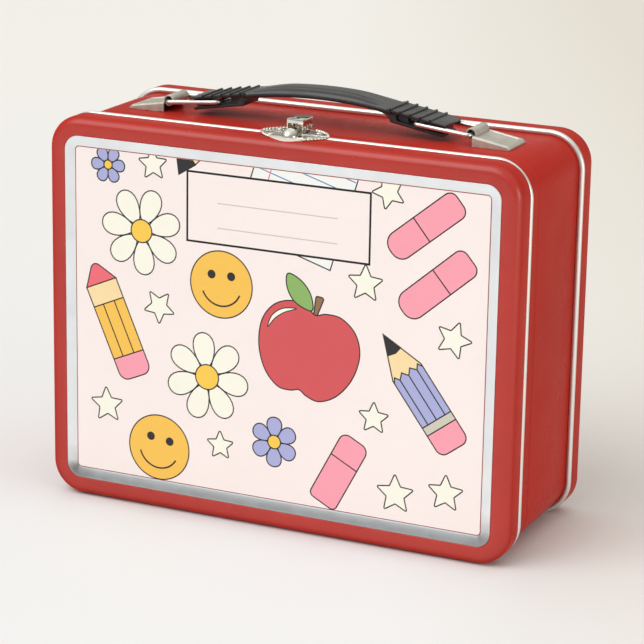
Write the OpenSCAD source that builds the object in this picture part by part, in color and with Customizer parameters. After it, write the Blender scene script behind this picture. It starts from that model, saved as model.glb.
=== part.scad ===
// Metal lunch box: a pressed-steel case with a drop-front lid, a folding handle and a snap latch.
// Millimetres. +X right, +Y to the back, +Z up. The origin is the bottom centre of the closed box.

/* [Case] */
// Distance between the rim bead centre lines across the width
bead_span_w = 213.5; // [190:0.5:240]
// Distance between the rim bead centre lines from bottom to top
bead_span_h = 167.2; // [150:0.1:190]
// Distance between the front and the rear rim bead
bead_spacing = 60.56; // [50:0.02:80]
// Depth of the closed case, from face to face
case_depth = 86.4; // [80:0.1:110]
// Diameter of the rolled rim beads
bead_d = 2.5; // [2:0.1:3]
// Corner radius at the bead centre line
bead_corner_r = 15; // [12:0.5:20]
// Thickness of the steel sheet
sheet_t = 0.4; // [0.3:0.05:0.5]
// How far the side band lies inside the bead centre line
band_inset = 1.1; // [1:0.05:1.3]
// Width of the raised middle strip of the side band
band_strip_w = 33; // [30:1:38]
// Height of the raised middle strip
band_strip_rise = 0.25; // [0.1:0.05:0.3]
// Distance that the band's plain edges reach into the two shells
rim_lip = 4.2; // [3:0.1:6]

/* [Shells] */
// How far a shell's side wall stands outside the bead centre line
shell_flare = 0.75; // [0.6:0.05:1]
// Radius where the side wall turns into the face
face_edge_r = 5.5; // [4:0.5:6]
// Width of the painted border round the face
border_w = 8.05; // [7.5:0.05:9]
// Plan width of the bare bevel ring
bezel_w = 4.45; // [4:0.05:5]
// Gap between the bevel ring and the printed panel
panel_gap = 0.4; // [0.3:0.1:0.8]
// Depth of the recess in the face
recess_depth = 1.54; // [1.3:0.02:1.8]
// Gap between the lid's edge and the front bead
lid_gap = 0.3; // [0.25:0.05:0.5]

/* [Hinges] */
// Distance of each hinge from the middle of the box
hinge_x = 62; // [45:1:75]
// Length of each hinge
hinge_len = 24; // [20:1:30]
// Diameter of the hinge pins
hinge_pin_d = 1.4; // [1.2:0.1:1.4]

/* [Handle] */
// Sideways place of the handle's middle
handle_x = 1.2; // [-2:0.1:2]
// Distance of each bracket knuckle from the handle's middle
knuckle_x = 70; // [68:0.5:74]
// Height of the knuckle axis above the base
knuckle_z = 172.5; // [172.3:0.1:173]
// Diameter of the wire loops
wire_d = 2; // [1.8:0.1:2]
// Distance between the legs of a wire loop
loop_w = 17.2; // [17.2:0.1:18]
// Level distance from a loop's pivot to its cross bar in the grip
loop_reach = 24.5; // [24:0.1:25]
// Rise from a loop's pivot to its cross bar in the grip
loop_rise = 2.4; // [2.2:0.1:2.5]
// Width of the ribbed top of the grip
grip_w = 18.2; // [17.8:0.1:19]
// Half of the grip's length
grip_half_len = 59.2; // [58:0.1:60]
// Number of cross ribs on each end of the grip
rib_count = 5; // [3:1:5]
// Distance from one cross rib to the next
rib_pitch = 4.45; // [4:0.05:4.6]

/* [Latch] */
// Sideways place of the latch
latch_x = 2.8; // [-4:0.1:4]
// Width of the oval latch plates
latch_w = 31; // [28:0.5:34]
// Depth of the oval latch plates, front to back
latch_d = 20.6; // [20:0.1:21]
// Width of the latch lever
lever_w = 7.4; // [7:0.1:8]
// Length of the latch lever, front to back
lever_len = 9.4; // [9:0.1:10]
// Diameter of the latch pin
latch_pin_d = 1.2; // [1:0.1:1.2]

/* [Hidden] */
$fn = 64;

red = "firebrick";
tin = "gainsboro";
nickel = "silver";
steel = "lightgray";
black = "dimgray";

bead_r = bead_d / 2;
mid_z = bead_span_h / 2 + bead_r;
bead_top = mid_z + bead_span_h / 2;
bead_y = bead_spacing / 2;
bead_joint = 0.4;
face_y = case_depth / 2;

// Side band: half sizes of its plain edges, and the level of its top under the handle
band_r = bead_corner_r - band_inset;
band_w = bead_span_w - 2 * band_inset;
band_h = bead_span_h - 2 * band_inset;
band_step = 1.5;
band_edge_top = mid_z + band_h / 2;
band_strip_top = band_edge_top + band_strip_rise;

// Shells, in a frame whose +Z runs from the bead plane out to the face
shell_w = bead_span_w + 2 * shell_flare;
shell_h = bead_span_h + 2 * shell_flare;
shell_corner_ease = 1.35;
shell_r = bead_corner_r + shell_flare - shell_corner_ease;
shell_d = face_y - bead_y;
shell_top = mid_z + shell_h / 2;
recess_w = shell_w - 2 * border_w;
recess_h = shell_h - 2 * border_w;
recess_r = shell_r - border_w;
bezel_inner_w = recess_w - 2 * bezel_w;
bezel_inner_h = recess_h - 2 * bezel_w;
panel_w = bezel_inner_w - 2 * panel_gap;
panel_h = bezel_inner_h - 2 * panel_gap;
panel_r = recess_r - bezel_w - panel_gap;
recess_floor = shell_d - recess_depth;
bezel_clear = 0.05;
bezel_lip = 0.4;

// Hinges: the axis is the centre line of the front bead along the bottom
hinge_z = bead_r;
band_edge_low = mid_z - band_h / 2;
lid_floor = mid_z - shell_h / 2 + sheet_t;
pin_clear = 0.05;
hinge_bore_r = hinge_pin_d / 2 + pin_clear;
barrel_r = 1.05;
hinge_gap = 0.4;
knuckle_len = (hinge_len - 2 * hinge_gap) / 3;
leaf_t = 0.46;
body_leaf_reach = 8;
body_leaf_from = 2;
body_tongue_from = 0.6;
body_tongue = 1.6;
lid_leaf_reach = 5.6;
lid_tongue_from = 0.9;
lid_tongue = 1.3;

// Handle brackets
knuckle_r = 2.4;
knuckle_bore_r = 1.8;
knuckle_half = 7.2;
plate_t = 0.6;
bracket_half = 9.2;
bracket_in = 2;
bracket_out = 18;
bracket_high = 172;
bracket_low = 169.3;
prong_w = 3;
prong_places = [6, 13];
prong_clear = 0.1;
prong_gap = 0.1;
prong_fold = 3.5;
prong_root = 0.5;

// Wire loops and the grip that they carry
wire_r = wire_d / 2;
loop_corner_r = 1.6;
loop_drop = 0.5;
loop_z = knuckle_z - loop_drop;
loop_angle = atan(loop_rise / loop_reach);
loop_len = loop_reach / cos(loop_angle);
bar_x = knuckle_x - loop_reach;
bar_z = loop_z + loop_rise;
flange_slope = 0.171;
slot_half = 1.45;
slot_in = 41;
slot_out = 52.5;
web_half = 7.2;
lip_t = 0.8;
top_over_bar = 3.1;
low_under_bar = 2.7;
grip_top_at_bar = bar_z + top_over_bar;
grip_low_at_bar = bar_z - low_under_bar;
end_in = 33;
web_out = 57.5;
rib_first = 34.7;
rib_t = 0.9;
rib_rise = 0.6;
rib_sink = 0.3;
arch_r = 200;
arch_mid_z = 181.9;
arch_t = 4.6;
arch_w = 16.4;
arch_half_angle = asin(end_in / arch_r) + 0.3;

// Latch
latch_shift = 0.6;
latch_y = -bead_y - latch_shift;
split_y = -bead_y - bead_r - 0.02;
foot_w = 8;
foot_inset = 1.6;
split_gap = 0.3;
body_plate_t = 0.5;
body_plate_z = bead_top + bead_r;
lid_plate_t = 0.6;
pin_y = -23;
pin_z = body_plate_z + 2.3;
lever_t = 0.5;
lever_tail = 1.5;
lever_lip = 1.8;
snap_hole_r = 0.55;
snap_drop = 2.9;
snap_shift = 0.4;
peep_hole_r = 0.6;
peep_x = 1.2;
peep_y = 3;
lever_front = pin_y + lever_tail - lever_len;
lever_top = body_plate_z + 6.2;
lever_low = pin_z - 1.5;
heel_z = pin_z + 1.6;
pin_head_play = 0.35;
pin_head_t = 0.4;
pin_head_r = 0.95;
ear_t = 0.5;
ear_play = 0.3;
ear_foot = 2.2;
ear_half = 1.1;
ear_shoulder = 0.6;
ear_peak = 1.2;
keeper_r = 3.7;
keeper_y = split_y - split_gap - keeper_r;
keeper_rise = 3.2;
keeper_tongue_w = 4;
keeper_tongue_t = 1.4;
keeper_tongue_in = 2;
keeper_tongue_gap = 0.3;
rivet_r = 0.8;
rivet_clear = 0.02;
rivet_head_r = 1.3;
rivet_head_h = 0.45;
rivet_tail_h = 0.5;
rivet_sink = 0.1;
rivet_dx = 9;
lid_rivet_y = -35.4;
body_rivet_y = -26.4;

// ---------------------------------------------------------------- shared shapes

// Rounded rectangle centred on the origin
module rounded_rect(w, h, r) {
    square([w, h - 2 * r], center = true);
    square([w - 2 * r, h], center = true);
    for (x = [-1, 1], y = [-1, 1]) translate([x * (w / 2 - r), y * (h / 2 - r)]) circle(r);
}

// Flat plate with that outline, from z0 up to z1
module slab(w, h, r, z0, z1) {
    translate([0, 0, z0]) linear_extrude(z1 - z0) rounded_rect(w, h, r);
}

// Carries a 2D profile round a rounded rectangle: x runs outward from the corner centres, y along Z
module carry_round(w, h, r) {
    for (k = [0:3]) {
        half = (k % 2 == 0) ? w / 2 : h / 2;
        run = (k % 2 == 0) ? h - 2 * r : w - 2 * r;
        rotate([0, 0, 90 * k]) {
            translate([half - r, 0, 0]) rotate([90, 0, 0]) linear_extrude(run, center = true) children();
            translate([half - r, run / 2, 0]) rotate_extrude(angle = 90) children();
        }
    }
}

// Puts a shape whose +Z points out of a face onto the front of the box
module on_front() {
    translate([0, -bead_y, mid_z]) rotate([90, 0, 0]) children();
}

// The same for the back
module on_back() {
    mirror([0, 1, 0]) on_front() children();
}

// A bar along X with a drawn Y-Z section
module along_x(x0, x1) {
    translate([x0, 0, 0]) rotate([90, 0, 90]) linear_extrude(x1 - x0) children();
}

// A bar along Y, centred, with a drawn X-Z section
module along_y(half) {
    rotate([90, 0, 0]) linear_extrude(2 * half, center = true) children();
}

// Round rod or hole along X
module rod_x(x0, x1, y, z, r) {
    translate([x0, y, z]) rotate([0, 90, 0]) cylinder(r = r, h = x1 - x0);
}

// Round rod or hole along Y, centred on Y = 0
module rod_y(half, x, z, r) {
    translate([x, half, z]) rotate([90, 0, 0]) cylinder(r = r, h = 2 * half);
}

// ---------------------------------------------------------------- case

// Section of the band: plain edges, and a strip in the middle that stands slightly proud
function band_line(dx) = let (
        edge = bead_y + rim_lip,
        strip = band_strip_w / 2)
    [[band_r + dx, -edge], [band_r + dx, -strip - band_step],
     [band_r + band_strip_rise + dx, -strip], [band_r + band_strip_rise + dx, strip],
     [band_r + dx, strip + band_step], [band_r + dx, edge]];

module band_section() {
    outer = band_line(0);
    inner = band_line(-sheet_t);
    polygon(concat(outer, [for (i = [len(inner) - 1:-1:0]) inner[i]]));
}

module side_band() {
    color(red) difference() {
        translate([0, 0, mid_z]) rotate([90, 0, 0]) carry_round(band_w, band_h, band_r) band_section();
        prong_slots();
        body_rivet_holes();
    }
}

// Slots in the top of the band for the bracket prongs
module prong_slots() {
    for (side = [-1, 1], place = prong_places, y = [-1, 1])
        translate([handle_x + side * (knuckle_x + place), y * (bracket_half - plate_t / 2), band_strip_top])
            cube([prong_w + 2 * prong_clear, plate_t + 2 * prong_clear, 4], center = true);
}

// Rolled bead: the sheet's edge curled into a tube
module rim_bead() {
    carry_round(bead_span_w, bead_span_h, bead_corner_r) translate([bead_corner_r, 0]) difference() {
        circle(bead_r);
        circle(bead_r - sheet_t);
    }
}

module front_rim_bead() {
    color(tin) difference() {
        on_front() rim_bead();
        for (side = [-1, 1]) translate([side * hinge_x, -bead_y, hinge_z])
            cube([hinge_len + 2 * hinge_gap, 2 * bead_d, 2 * bead_d], center = true);
    }
}

module rear_rim_bead() {
    color(tin) difference() {
        on_back() rim_bead();
        translate([0, bead_y, hinge_z]) cube([bead_joint, 2 * bead_d, 2 * bead_d], center = true);
    }
}

// ---------------------------------------------------------------- front and back shells

// Half section of a shell from its open edge to the face, shrunk by d
module shell_region(edge, d) {
    r = face_edge_r - d;
    x = shell_r - d;
    y = shell_d - d;
    translate([0, edge]) square([x, y - r - edge]);
    translate([0, edge]) square([x - r, y - edge]);
    translate([x - r, y - r]) circle(r);
}

// Section of the wall, the rounded edge, the border and the stepped-in floor of the recess
module shell_section(edge) {
    difference() {
        union() {
            difference() {
                shell_region(edge, 0);
                shell_region(edge - 1, sheet_t);
            }
            translate([0, recess_floor - sheet_t]) square([recess_r + sheet_t, recess_depth]);
        }
        translate([-1, recess_floor]) square([recess_r + 1, recess_depth + 1]);
    }
}

module pressed_shell(edge) {
    carry_round(shell_w, shell_h, shell_r) shell_section(edge);
    translate([0, 0, recess_floor - sheet_t])
        linear_extrude(sheet_t) square([shell_w - 2 * shell_r, shell_h - 2 * shell_r], center = true);
}

module back_shell() {
    color(red) on_back() pressed_shell(bead_r - 0.3);
}

module front_shell() {
    color(red) difference() {
        on_front() pressed_shell(bead_r + lid_gap);
        lid_rivet_holes();
    }
}

// Bare metal bevel that slopes from the border down to the printed panel
module front_bezel() {
    r = recess_r - bezel_clear;
    inner = recess_r - bezel_w;
    color(tin) on_front()
        carry_round(recess_w - 2 * bezel_clear, recess_h - 2 * bezel_clear, r)
            polygon([[r, recess_floor], [r, shell_d - 0.05], [r - bezel_lip, shell_d - 0.05],
                     [inner, recess_floor + sheet_t], [inner, recess_floor]]);
}

module print_panel() {
    color("mistyrose") on_front() slab(panel_w, panel_h, panel_r, recess_floor, recess_floor + sheet_t);
}

// ---------------------------------------------------------------- hinges

// Knuckle barrels of one hinge: the outer two belong to the body, the middle one to the lid
module barrel(x0, x1) {
    difference() {
        rod_x(x0, x1, -bead_y, hinge_z, barrel_r);
        rod_x(x0 - 1, x1 + 1, -bead_y, hinge_z, hinge_bore_r);
    }
}

module hinge_leaf_body(side) {
    x0 = side * hinge_x - hinge_len / 2;
    color(nickel) {
        for (k = [0, 2]) {
            a = x0 + k * (knuckle_len + hinge_gap);
            barrel(a, a + knuckle_len);
            translate([a, -bead_y + body_tongue_from, band_edge_low - leaf_t])
                cube([knuckle_len, body_tongue, leaf_t]);
        }
        translate([x0, -bead_y + body_leaf_from, band_edge_low - leaf_t])
            cube([hinge_len, body_leaf_reach, leaf_t]);
    }
}

module hinge_leaf_lid(side) {
    x0 = side * hinge_x - hinge_len / 2;
    a = x0 + knuckle_len + hinge_gap;
    color(nickel) {
        barrel(a, a + knuckle_len);
        translate([a, -bead_y - lid_tongue_from - lid_tongue, lid_floor])
            cube([knuckle_len, lid_tongue, leaf_t]);
        translate([x0, -bead_y - bead_r - lid_gap - lid_leaf_reach, lid_floor])
            cube([hinge_len, lid_leaf_reach, leaf_t]);
    }
}

module hinge_leaf_body_left() { hinge_leaf_body(-1); }
module hinge_leaf_body_right() { hinge_leaf_body(1); }
module hinge_leaf_lid_left() { hinge_leaf_lid(-1); }
module hinge_leaf_lid_right() { hinge_leaf_lid(1); }

module hinge_pins() {
    color(steel) for (side = [-1, 1])
        rod_x(side * hinge_x - hinge_len / 2, side * hinge_x + hinge_len / 2, -bead_y, hinge_z, hinge_pin_d / 2);
}

// ---------------------------------------------------------------- handle

// Shapes for the right-hand end are drawn from the handle's middle and mirrored for the left
module handle_side(side) {
    translate([handle_x, 0, 0]) mirror([side < 0 ? 1 : 0, 0, 0]) children();
}

// Folded bracket: a sloping cap with side walls, an end wall, a rolled knuckle and clinched prongs
module bracket() {
    x0 = knuckle_x + bracket_in;
    x1 = knuckle_x + bracket_out;
    cap = [[x0, bracket_high], [x1, bracket_low], [x1, bracket_low - plate_t], [x0, bracket_high - plate_t]];
    wall = [[x0, band_strip_top], [x1, band_strip_top], [x1, bracket_low - plate_t / 2],
            [x0, bracket_high - plate_t / 2]];
    difference() {
        rod_y(knuckle_half, knuckle_x, knuckle_z, knuckle_r);
        rod_y(knuckle_half + 1, knuckle_x, knuckle_z, knuckle_bore_r);
    }
    along_y(bracket_half) polygon(cap);
    for (y = [-1, 1]) translate([0, y * (bracket_half - plate_t / 2), 0]) along_y(plate_t / 2) polygon(wall);
    translate([x1 - plate_t, -bracket_half, band_strip_top])
        cube([plate_t, 2 * bracket_half, bracket_low - plate_t / 2 - band_strip_top]);
    for (place = prong_places, y = [0, 1]) mirror([0, y, 0]) prong(knuckle_x + place);
}

// One prong: down through its slot, then folded flat against the inside of the band
module prong(x) {
    low = band_strip_top - sheet_t - prong_gap - plate_t;
    translate([x - prong_w / 2, bracket_half - plate_t, low])
        cube([prong_w, plate_t, band_strip_top - low + prong_root]);
    translate([x - prong_w / 2, bracket_half - prong_fold, low]) cube([prong_w, prong_fold, plate_t]);
}

module handle_bracket_left() { color(nickel) handle_side(-1) bracket(); }
module handle_bracket_right() { color(nickel) handle_side(1) bracket(); }

// Closed wire loop: one bar turns in the knuckle, the other carries the grip
module wire_loop() {
    half = loop_w / 2;
    translate([knuckle_x, 0, loop_z]) rotate([0, loop_angle, 0]) {
        for (x = [0, -loop_len]) rod_y(half - loop_corner_r, x, 0, wire_r);
        for (y = [-half, half])
            translate([-loop_len + loop_corner_r, y, 0]) rotate([0, 90, 0])
                cylinder(r = wire_r, h = loop_len - 2 * loop_corner_r);
        for (k = [0:3]) {
            x = (k == 0 || k == 3) ? -loop_corner_r : -loop_len + loop_corner_r;
            y = (k < 2 ? 1 : -1) * (half - loop_corner_r);
            translate([x, y, 0]) rotate([0, 0, 90 * k])
                rotate_extrude(angle = 90) translate([loop_corner_r, 0]) circle(wire_r);
        }
    }
}

module handle_loop_left() { color(steel) handle_side(-1) wire_loop(); }
module handle_loop_right() { color(steel) handle_side(1) wire_loop(); }

// Heights on the sloping ends of the grip
function grip_top(x) = grip_top_at_bar - flange_slope * (x - bar_x);
function grip_low(x) = grip_low_at_bar - flange_slope * (x - bar_x);
function slot_mid(x) = bar_z - flange_slope * (x - bar_x);

// One end of the grip: web with an open slot, wide thin top, cross ribs and a curved underside
module grip_end() {
    curve_steps = 6;
    curve_from = 24;
    curve_drop = 2.2;
    under = arch_mid_z - arch_t / 2 - curve_drop;
    curve = [for (i = [0:curve_steps]) let (a = 90 * i / curve_steps)
        [curve_from + (end_in + 1 - curve_from) * sin(a), under + (grip_low(end_in + 1) - under) * (1 - cos(a))]];
    difference() {
        along_y(web_half) polygon(concat(curve, [
            [web_out, grip_low(web_out)], [web_out, grip_top(web_out)],
            [end_in, grip_top(end_in)], [curve_from, arch_mid_z - 1]]));
        along_y(web_half + 1) polygon([
            [slot_in, slot_mid(slot_in) - slot_half], [slot_out, slot_mid(slot_out) - slot_half],
            [slot_out, slot_mid(slot_out) + slot_half], [slot_in, slot_mid(slot_in) + slot_half]]);
    }
    along_y(grip_w / 2) polygon([
        [end_in, grip_top(end_in)], [grip_half_len, grip_top(grip_half_len)],
        [grip_half_len, grip_top(grip_half_len) - lip_t], [end_in, grip_top(end_in) - lip_t]]);
    for (i = [0:rib_count - 1]) let (x = rib_first + i * rib_pitch)
        along_y(grip_w / 2) polygon([
            [x - rib_t / 2, grip_top(x) - rib_sink], [x + rib_t / 2, grip_top(x) - rib_sink],
            [x + rib_t / 2, grip_top(x) + rib_rise], [x - rib_t / 2, grip_top(x) + rib_rise]]);
}

// Arched middle of the grip: a flat oval bent round a large circle
module grip_arch() {
    translate([0, 0, arch_mid_z - arch_r]) rotate([90, 0, 0]) rotate([0, 0, 90 - arch_half_angle])
        rotate_extrude(angle = 2 * arch_half_angle) translate([arch_r, 0]) {
            square([arch_t, arch_w - arch_t], center = true);
            for (y = [-1, 1]) translate([0, y * (arch_w - arch_t) / 2]) circle(arch_t / 2);
        }
}

module handle_grip() {
    color(black) translate([handle_x, 0, 0]) {
        grip_arch();
        for (side = [0, 1]) mirror([side, 0, 0]) grip_end();
    }
}

// ---------------------------------------------------------------- latch

// Pointed oval outline of the two latch plates, from two equal arcs
module latch_oval() {
    a = latch_w / 2;
    b = latch_d / 2;
    r = (a * a + b * b) / (2 * b);
    translate([latch_x, latch_y]) intersection() {
        translate([0, r - b]) circle(r, $fn = 128);
        translate([0, b - r]) circle(r, $fn = 128);
    }
}

// Rear plate: lies over the bead, with a rear foot down to the band and two ears for the pin
module latch_body_plate() {
    top = body_plate_z + body_plate_t;
    ear_x = lever_w / 2 - lever_t - ear_play - ear_t;
    foot_y = latch_y + latch_d / 2 - foot_inset;
    color(nickel) difference() {
        union() {
            intersection() {
                translate([0, 0, body_plate_z]) linear_extrude(body_plate_t) latch_oval();
                translate([latch_x - latch_w, split_y, body_plate_z - 1]) cube([2 * latch_w, latch_d, 3]);
            }
            translate([latch_x - foot_w / 2, foot_y, band_edge_top])
                cube([foot_w, body_plate_t, top - band_edge_top]);
            for (side = [-1, 1]) translate([latch_x + (side < 0 ? -ear_x - ear_t : ear_x), 0, 0])
                along_x(0, ear_t) polygon([[pin_y - ear_foot, top - body_plate_t / 2],
                    [pin_y + ear_half, top - body_plate_t / 2], [pin_y + ear_half, pin_z + ear_shoulder],
                    [pin_y, pin_z + ear_peak], [pin_y - ear_half, pin_z + ear_shoulder]]);
        }
        rod_x(latch_x - lever_w, latch_x + lever_w, pin_y, pin_z, latch_pin_d / 2 + pin_clear);
        body_rivet_holes();
    }
}

module body_rivet_holes() {
    for (side = [-1, 1]) translate([latch_x + side * rivet_dx, body_rivet_y, body_plate_z - 5])
        cylinder(r = rivet_r + rivet_clear, h = 10, $fn = 32);
}

// Front plate: lies on the lid's top wall and follows its rounded edge
module latch_lid_plate() {
    z1 = shell_top + lid_plate_t;
    edge_y = -face_y + face_edge_r;
    edge_z = shell_top - face_edge_r;
    color(nickel) difference() {
        intersection() {
            translate([0, 0, shell_top - 6]) linear_extrude(8) latch_oval();
            along_x(latch_x - latch_w, latch_x + latch_w) difference() {
                union() {
                    translate([edge_y, edge_z]) square([split_y - split_gap - edge_y, z1 - edge_z]);
                    translate([edge_y, edge_z]) circle(face_edge_r + lid_plate_t);
                }
                translate([edge_y, edge_z - 9]) square([20, shell_top - edge_z + 9]);
                translate([edge_y, edge_z]) circle(face_edge_r);
                translate([edge_y - 9, edge_z - 9]) square([30, 9]);
            }
        }
        lid_rivet_holes();
    }
}

module lid_rivet_holes() {
    for (side = [-1, 1]) translate([latch_x + side * rivet_dx, lid_rivet_y, shell_top - 5])
        cylinder(r = rivet_r + rivet_clear, h = 10, $fn = 32);
}

// Domed keeper that the lever's mouth closes behind, with a tongue that enters the mouth
module latch_keeper() {
    z0 = shell_top + lid_plate_t;
    ball_r = (keeper_r * keeper_r + keeper_rise * keeper_rise) / (2 * keeper_rise);
    color(nickel) {
        intersection() {
            translate([latch_x, keeper_y, z0 + keeper_rise - ball_r]) sphere(ball_r);
            translate([latch_x - ball_r, keeper_y - ball_r, z0]) cube([2 * ball_r, 2 * ball_r, 2 * keeper_rise]);
        }
        translate([latch_x - keeper_tongue_w / 2, keeper_y, body_plate_z + body_plate_t + keeper_tongue_gap])
            cube([keeper_tongue_w, lever_front + keeper_tongue_in - keeper_y, keeper_tongue_t]);
    }
}

// Box-shaped lever: top, front lip, two side walls, pivot holes and the round snap holes
module latch_lever() {
    back = pin_y + lever_tail;
    color(nickel) difference() {
        union() {
            for (side = [-1, 1]) translate([latch_x + (side < 0 ? -lever_w / 2 : lever_w / 2 - lever_t), 0, 0])
                along_x(0, lever_t) {
                    translate([lever_front, lever_low]) square([pin_y - lever_front, lever_top - lever_low]);
                    translate([lever_front, pin_z]) square([back - lever_front, lever_top - pin_z]);
                    translate([pin_y, pin_z]) circle(pin_z - lever_low);
                }
            translate([latch_x - lever_w / 2, lever_front, lever_top - lever_t])
                cube([lever_w, lever_len, lever_t]);
            translate([latch_x - lever_w / 2, lever_front, lever_top - lever_lip])
                cube([lever_w, lever_t, lever_lip]);
            translate([latch_x - lever_w / 2, back - lever_t, heel_z]) cube([lever_w, lever_t, lever_top - heel_z]);
        }
        rod_x(latch_x - lever_w, latch_x + lever_w, pin_y, pin_z, latch_pin_d / 2 + pin_clear);
        rod_x(latch_x - lever_w, latch_x + lever_w,
              (lever_front + back) / 2 - snap_shift, lever_top - snap_drop, snap_hole_r);
        translate([latch_x - peep_x, lever_front + peep_y, lever_top - 2 * lever_t])
            cylinder(r = peep_hole_r, h = 3 * lever_t, $fn = 32);
    }
}

module latch_pin() {
    half = lever_w / 2 + pin_head_play;
    color(steel) {
        rod_x(latch_x - half, latch_x + half, pin_y, pin_z, latch_pin_d / 2);
        for (side = [-1, 1]) {
            x = latch_x + side * (half + 0.1);
            rod_x(x - pin_head_t / 2, x + pin_head_t / 2, pin_y, pin_z, pin_head_r);
        }
    }
}

// Rivets: a low round head above, a shank through the sheets and a flat tail inside
module rivet(x, y, head_z, tail_z) {
    translate([x, y, 0]) {
        translate([0, 0, head_z]) cylinder(r = rivet_head_r, h = rivet_head_h);
        translate([0, 0, tail_z - rivet_tail_h / 2])
            cylinder(r = rivet_r, h = head_z + rivet_sink - tail_z + rivet_tail_h / 2);
        translate([0, 0, tail_z - rivet_tail_h]) cylinder(r = rivet_head_r, h = rivet_tail_h - rivet_sink);
    }
}

module latch_body_rivets() {
    color(steel) for (side = [-1, 1])
        rivet(latch_x + side * rivet_dx, body_rivet_y, body_plate_z + body_plate_t, band_edge_top - sheet_t);
}

module latch_lid_rivets() {
    color(steel) for (side = [-1, 1])
        rivet(latch_x + side * rivet_dx, lid_rivet_y, shell_top + lid_plate_t, shell_top - sheet_t);
}

side_band();
back_shell();
front_rim_bead();
rear_rim_bead();
front_shell();
front_bezel();
print_panel();
hinge_leaf_body_left();
hinge_leaf_body_right();
hinge_leaf_lid_left();
hinge_leaf_lid_right();
hinge_pins();
handle_bracket_left();
handle_bracket_right();
handle_loop_left();
handle_loop_right();
handle_grip();
latch_body_plate();
latch_lid_plate();
latch_keeper();
latch_lever();
latch_pin();
latch_body_rivets();
latch_lid_rivets();
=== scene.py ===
"""Metal lunch box: painted sheet, rolled beads, printed picture, handle, latch and a plain studio.

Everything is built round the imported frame. Drawn sizes are in millimetres and become metres in the meshes.
"""

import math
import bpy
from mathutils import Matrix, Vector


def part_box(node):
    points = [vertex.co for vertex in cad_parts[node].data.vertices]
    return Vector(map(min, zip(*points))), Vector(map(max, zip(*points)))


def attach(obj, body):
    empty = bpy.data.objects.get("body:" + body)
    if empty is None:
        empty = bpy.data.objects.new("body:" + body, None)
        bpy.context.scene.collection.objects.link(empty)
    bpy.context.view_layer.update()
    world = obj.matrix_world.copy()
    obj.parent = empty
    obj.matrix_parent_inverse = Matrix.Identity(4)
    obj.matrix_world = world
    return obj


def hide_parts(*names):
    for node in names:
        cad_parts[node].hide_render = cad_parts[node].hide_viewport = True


bl_info = {
    "name": "Metal Lunch Box",
    "version": (1, 0, 0),
    "blender": (4, 5, 0),
    "location": "3D View > Sidebar > Lunch Box",
    "description": "Builds the detailed pieces and finishes of a metal lunch box round its packed frame",
    "category": "Object",
}

import bmesh
import bpy
from bpy.props import FloatProperty, FloatVectorProperty, IntProperty, PointerProperty
from mathutils import Matrix, Vector, noise
from mathutils.geometry import delaunay_2d_cdt

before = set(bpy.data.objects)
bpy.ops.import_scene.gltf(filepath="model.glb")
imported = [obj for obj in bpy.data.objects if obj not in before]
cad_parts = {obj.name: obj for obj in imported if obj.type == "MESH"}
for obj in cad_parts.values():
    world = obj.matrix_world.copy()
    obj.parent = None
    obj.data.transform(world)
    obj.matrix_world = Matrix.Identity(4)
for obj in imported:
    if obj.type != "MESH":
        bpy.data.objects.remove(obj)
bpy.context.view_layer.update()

MM = 0.001


def mm_box(node):
    """Lowest and highest corner of a frame node, in millimetres."""
    low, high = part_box(node)
    return low / MM, high / MM


# Places taken from the frame, in millimetres
BEAD_LOW, BEAD_HIGH = mm_box("rear_rim_bead")
BEAD_R = (BEAD_HIGH.y - BEAD_LOW.y) / 2
BEAD_Y = (BEAD_HIGH.y + BEAD_LOW.y) / 2
MID_Z = (BEAD_HIGH.z + BEAD_LOW.z) / 2
BEAD_HALF_W = BEAD_HIGH.x - BEAD_R
BEAD_HALF_H = BEAD_HIGH.z - MID_Z - BEAD_R
BEAD_TOP = BEAD_HIGH.z
REAR_PLATE_TOP = BEAD_TOP + 0.5
SHELL_LOW, SHELL_HIGH = mm_box("front_shell")
SHELL_HALF_W = SHELL_HIGH.x
SHELL_HALF_H = SHELL_HIGH.z - MID_Z
FACE_Y = -SHELL_LOW.y
LID_EDGE = -SHELL_HIGH.y
BACK_EDGE = mm_box("back_shell")[0].y
BAND_HIGH = mm_box("side_band")[1]
PANEL_LOW, PANEL_HIGH = mm_box("print_panel")
BEZEL_LOW, BEZEL_HIGH = mm_box("front_bezel")
GRIP_HIGH = mm_box("handle_grip")[1]
LID_PLATE_LOW, LID_PLATE_HIGH = mm_box("latch_lid_plate")

# Pressing sizes, in millimetres
SHEET = 0.4
BEAD_CORNER = 15
SHELL_CORNER = 14.4
BAND_CORNER = 13.9
STRIP_RISE = 0.25
STRIP_HALF = 16.5
STRIP_SLOPE = 1.5
FACE_EDGE = 5.5
BORDER = 8.05
RECESS_DEPTH = 1.54
BEZEL_W = 4.45
HINGE_X = 62
HINGE_HALF = 12
HINGE_GAP = 0.4
HANDLE_X = 1.2
LATCH_X = 2.8


def paint(name, text, colour):
    return FloatVectorProperty(
        name=name, description=text, default=colour, size=3, min=0, max=1, subtype="COLOR"
    )


def length(name, text, value, low, high):
    return FloatProperty(
        name=name, description=text, default=value, min=low, max=high, subtype="DISTANCE", unit="LENGTH"
    )


class LunchboxSheetSettings(bpy.types.PropertyGroup):
    """Colours of the painted and bare sheet"""

    enamel: paint("Enamel", "Colour of the baked paint", (0.44, 0.028, 0.019))
    tin: paint("Tin", "Colour of the bare rolled beads", (0.55, 0.53, 0.49))
    lining: paint("Lining", "Colour of the lacquered inside", (0.62, 0.60, 0.56))


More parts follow.
